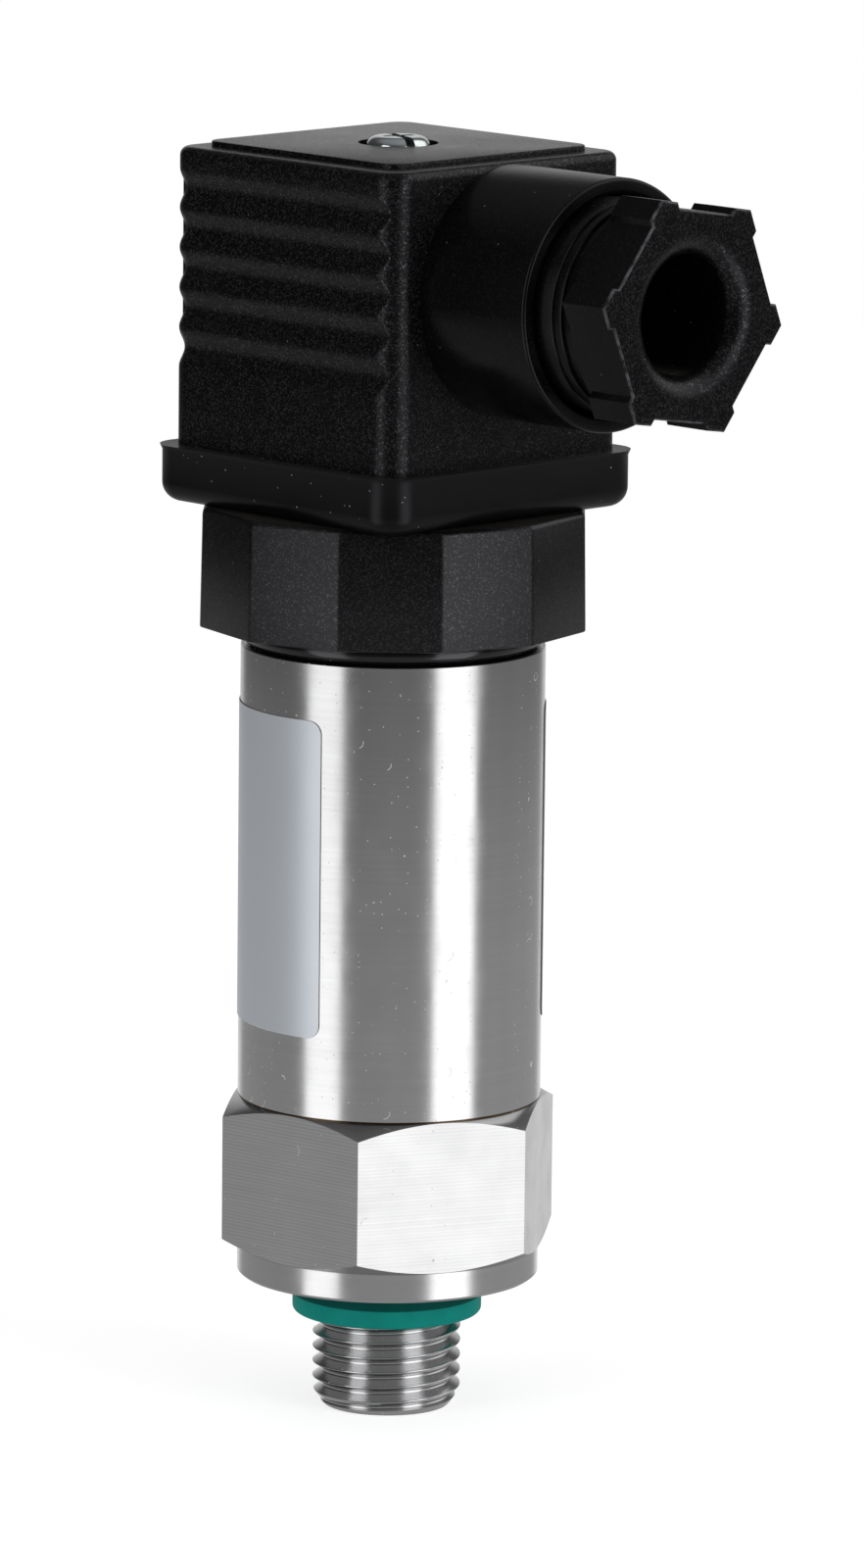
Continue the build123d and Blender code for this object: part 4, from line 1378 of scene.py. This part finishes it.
class TRANSMITTER_OT_stage(bpy.types.Operator):
    """Makes the floor, the soft light and the camera"""

    bl_idname = "transmitter.stage"
    bl_label = "Stage"

    camera_place = (0.598479, -0.577700, 0.195752)
    camera_yaw = radians(45.769)
    camera_pitch = radians(-10.351)
    camera_roll = radians(0.613)
    camera_lens = 220.6
    sensor = 36.0
    nearest_seen = 0.01
    floor_radius = 0.75
    floor_steps = 128
    glow_start, glow_end = 0.19, 0.57
    box_distance = 0.9
    box_height = 1.5
    left_box = (-66, -37)
    right_box = (33, 66)
    right_share = 1.22
    # The high lamp lies to the right of straight behind the object, and this steep
    lamp_side = radians(15)
    lamp_rise = 0.65

    def soft_box(self, name, low_angle, high_angle, radiance):
        """Adds an upright soft box that spans two angles, counted from the camera to the right"""
        middle = self.camera_yaw - QUARTER + radians((low_angle + high_angle) / 2)
        width = 2 * self.box_distance * tan(radians(high_angle - low_angle) / 2)
        light = bpy.data.lights.new(name, "AREA")
        light.shape = "RECTANGLE"
        light.size = width
        light.size_y = self.box_height
        light.energy = radiance * pi * width * self.box_height
        lamp = bpy.data.objects.new(name, light)
        bpy.context.scene.collection.objects.link(lamp)
        lamp.location = self.box_distance * Vector((cos(middle), sin(middle), 0))
        lamp.rotation_euler = (-lamp.location).to_track_quat("-Z", "Y").to_euler()

    def world(self, settings):
        """Lights the object evenly. Polished faces see a dim room, darker on the left, with a
        white backdrop behind the object, a soft ceiling and a high lamp"""
        world = bpy.data.worlds.new("studio")
        bpy.context.scene.world = world
        world.use_nodes = True
        sky = Nodes(world.node_tree)
        path = sky.node("LightPath").outputs
        direction = sky.node("TexCoord").outputs["Generated"]
        across, along = cos(self.camera_yaw), sin(self.camera_yaw)
        # The room is uneven all round, and the same at every height
        around = sky.vector("MULTIPLY", direction, (5, 5, 0))
        uneven = sky.shade(sky.noise(1.0, 4.0, 0.7, around), 0.75, 1.3)
        rightwards = sky.spread(sky.dot(direction, (across, along, 0)), -0.9, 0.5, 0.4, 1.1)
        room = sky.times(sky.times(uneven, rightwards), settings.dim_room)
        behind = sky.dot(direction, (-along, across, 0))
        side = self.camera_yaw + self.lamp_side
        lamp = Vector((cos(side), sin(side), self.lamp_rise)).normalized()
        # Each light area fades in between two cosines of the angle from its middle
        mirrored = room
        for towards, edge, full, strength in (
            (behind, 0.82, 0.97, settings.backdrop),
            (sky.part(direction, 2), 0.55, 0.95, settings.top_light),
            (sky.dot(direction, lamp), 0.8, 0.95, settings.high_light),
        ):
            seen = sky.spread(towards, edge, full, 0.0, strength, "SMOOTHSTEP")
            mirrored = sky.add(mirrored, seen)
        strength = sky.spread(path["Is Glossy Ray"], 0, 1, settings.room_light, mirrored)
        for ray in ("Is Camera Ray", "Is Transmission Ray"):
            strength = sky.most(strength, path[ray])
        background = sky.tree.nodes["Background"]
        background.inputs["Color"].default_value = (1, 1, 1, 1)
        sky.tree.links.new(strength, background.inputs["Strength"])

    def floor(self, settings):
        """Pale floor that looks white and keeps the shadow. Polished faces see it fade away from
        the object"""
        deselect()
        bpy.ops.mesh.primitive_circle_add(
            vertices=self.floor_steps, radius=self.floor_radius, location=(0, 0, stud_end),
            fill_type="NGON",
        )
        floor = settle("floor")
        paint = Recipe("floor_paint", tuple(settings.floor), 0.9, specular=0.1)

        def glowing(shader, strength):
            glow = paint.node("Emission", {"Strength": strength})
            return paint.node("AddShader", {0: shader.outputs[0], 1: glow.outputs[0]}).outputs[0]

        path = paint.node("LightPath").outputs
        seen = glowing(paint.shader, paint.times(path["Is Camera Ray"], settings.floor_lift))
        away = paint.off_axis((1, 1, 0))
        near = settings.near_room - settings.dim_room
        fading = paint.spread(away, self.glow_start, self.glow_end, near, 0.0, "SMOOTHSTEP")
        mirrored = glowing(paint.node("BsdfTransparent"), fading)
        both = paint.node("MixShader", {0: path["Is Glossy Ray"], 1: seen, 2: mirrored})
        output = paint.tree.nodes["Material Output"]
        paint.tree.links.new(both.outputs[0], output.inputs["Surface"])
        floor.data.materials.append(paint.material)

    def execute(self, context):
        scene = context.scene
        settings = scene.transmitter_stage
        self.floor(settings)
        self.soft_box("soft_box_left", *self.left_box, settings.soft_light)
        self.soft_box("soft_box_right", *self.right_box, settings.soft_light * self.right_share)
        self.world(settings)

        camera = bpy.data.cameras.new("camera")
        camera.sensor_width = self.sensor
        camera.lens = self.camera_lens
        camera.clip_start = self.nearest_seen
        view = bpy.data.objects.new("camera", camera)
        scene.collection.objects.link(view)
        pose = Matrix.Translation(self.camera_place)
        turns = (self.camera_yaw, QUARTER + self.camera_pitch, self.camera_roll)
        for angle, axis in zip(turns, "ZXZ"):
            pose = pose @ Matrix.Rotation(angle, 4, axis)
        view.matrix_world = pose
        scene.camera = view
        scene.view_settings.view_transform = "Standard"
        return {"FINISHED"}


class TRANSMITTER_PT_panel(bpy.types.Panel):
    """Lists the sizes, the colours and the operators"""

    bl_idname = "TRANSMITTER_PT_panel"
    bl_label = "Pressure Transmitter"
    bl_space_type = "VIEW_3D"
    bl_region_type = "UI"
    bl_category = "Transmitter"

    def draw(self, context):
        for group in groups:
            settings = getattr(context.scene, group)
            column = self.layout.column(align=True)
            for name in settings.__annotations__:
                column.prop(settings, name)
        for operator in operators:
            self.layout.operator(operator.bl_idname)


groups = {
    "transmitter_stud": StudSizes,
    "transmitter_body": BodySizes,
    "transmitter_plug": PlugSizes,
    "transmitter_stage": StageSettings,
}
operators = (
    TRANSMITTER_OT_stage,
    TRANSMITTER_OT_process_connection,
    TRANSMITTER_OT_sealing_ring,
    TRANSMITTER_OT_body_tube,
    TRANSMITTER_OT_type_label,
    TRANSMITTER_OT_connector_cap,
    TRANSMITTER_OT_plug_gasket,
    TRANSMITTER_OT_plug_housing,
    TRANSMITTER_OT_centre_screw,
    TRANSMITTER_OT_gland_nut,
    TRANSMITTER_OT_inner_pieces,
)


def register():
    for kind in (*groups.values(), *operators, TRANSMITTER_PT_panel):
        bpy.utils.register_class(kind)
    for name, kind in groups.items():
        setattr(bpy.types.Scene, name, PointerProperty(type=kind))


def unregister():
    for name in groups:
        delattr(bpy.types.Scene, name)
    for kind in reversed((*groups.values(), *operators, TRANSMITTER_PT_panel)):
        bpy.utils.unregister_class(kind)


def main():
    """Runs every operator in order"""
    register()
    for operator in operators:
        category, name = operator.bl_idname.split(".")
        getattr(getattr(bpy.ops, category), name)()


if __name__ == "__main__":
    main()
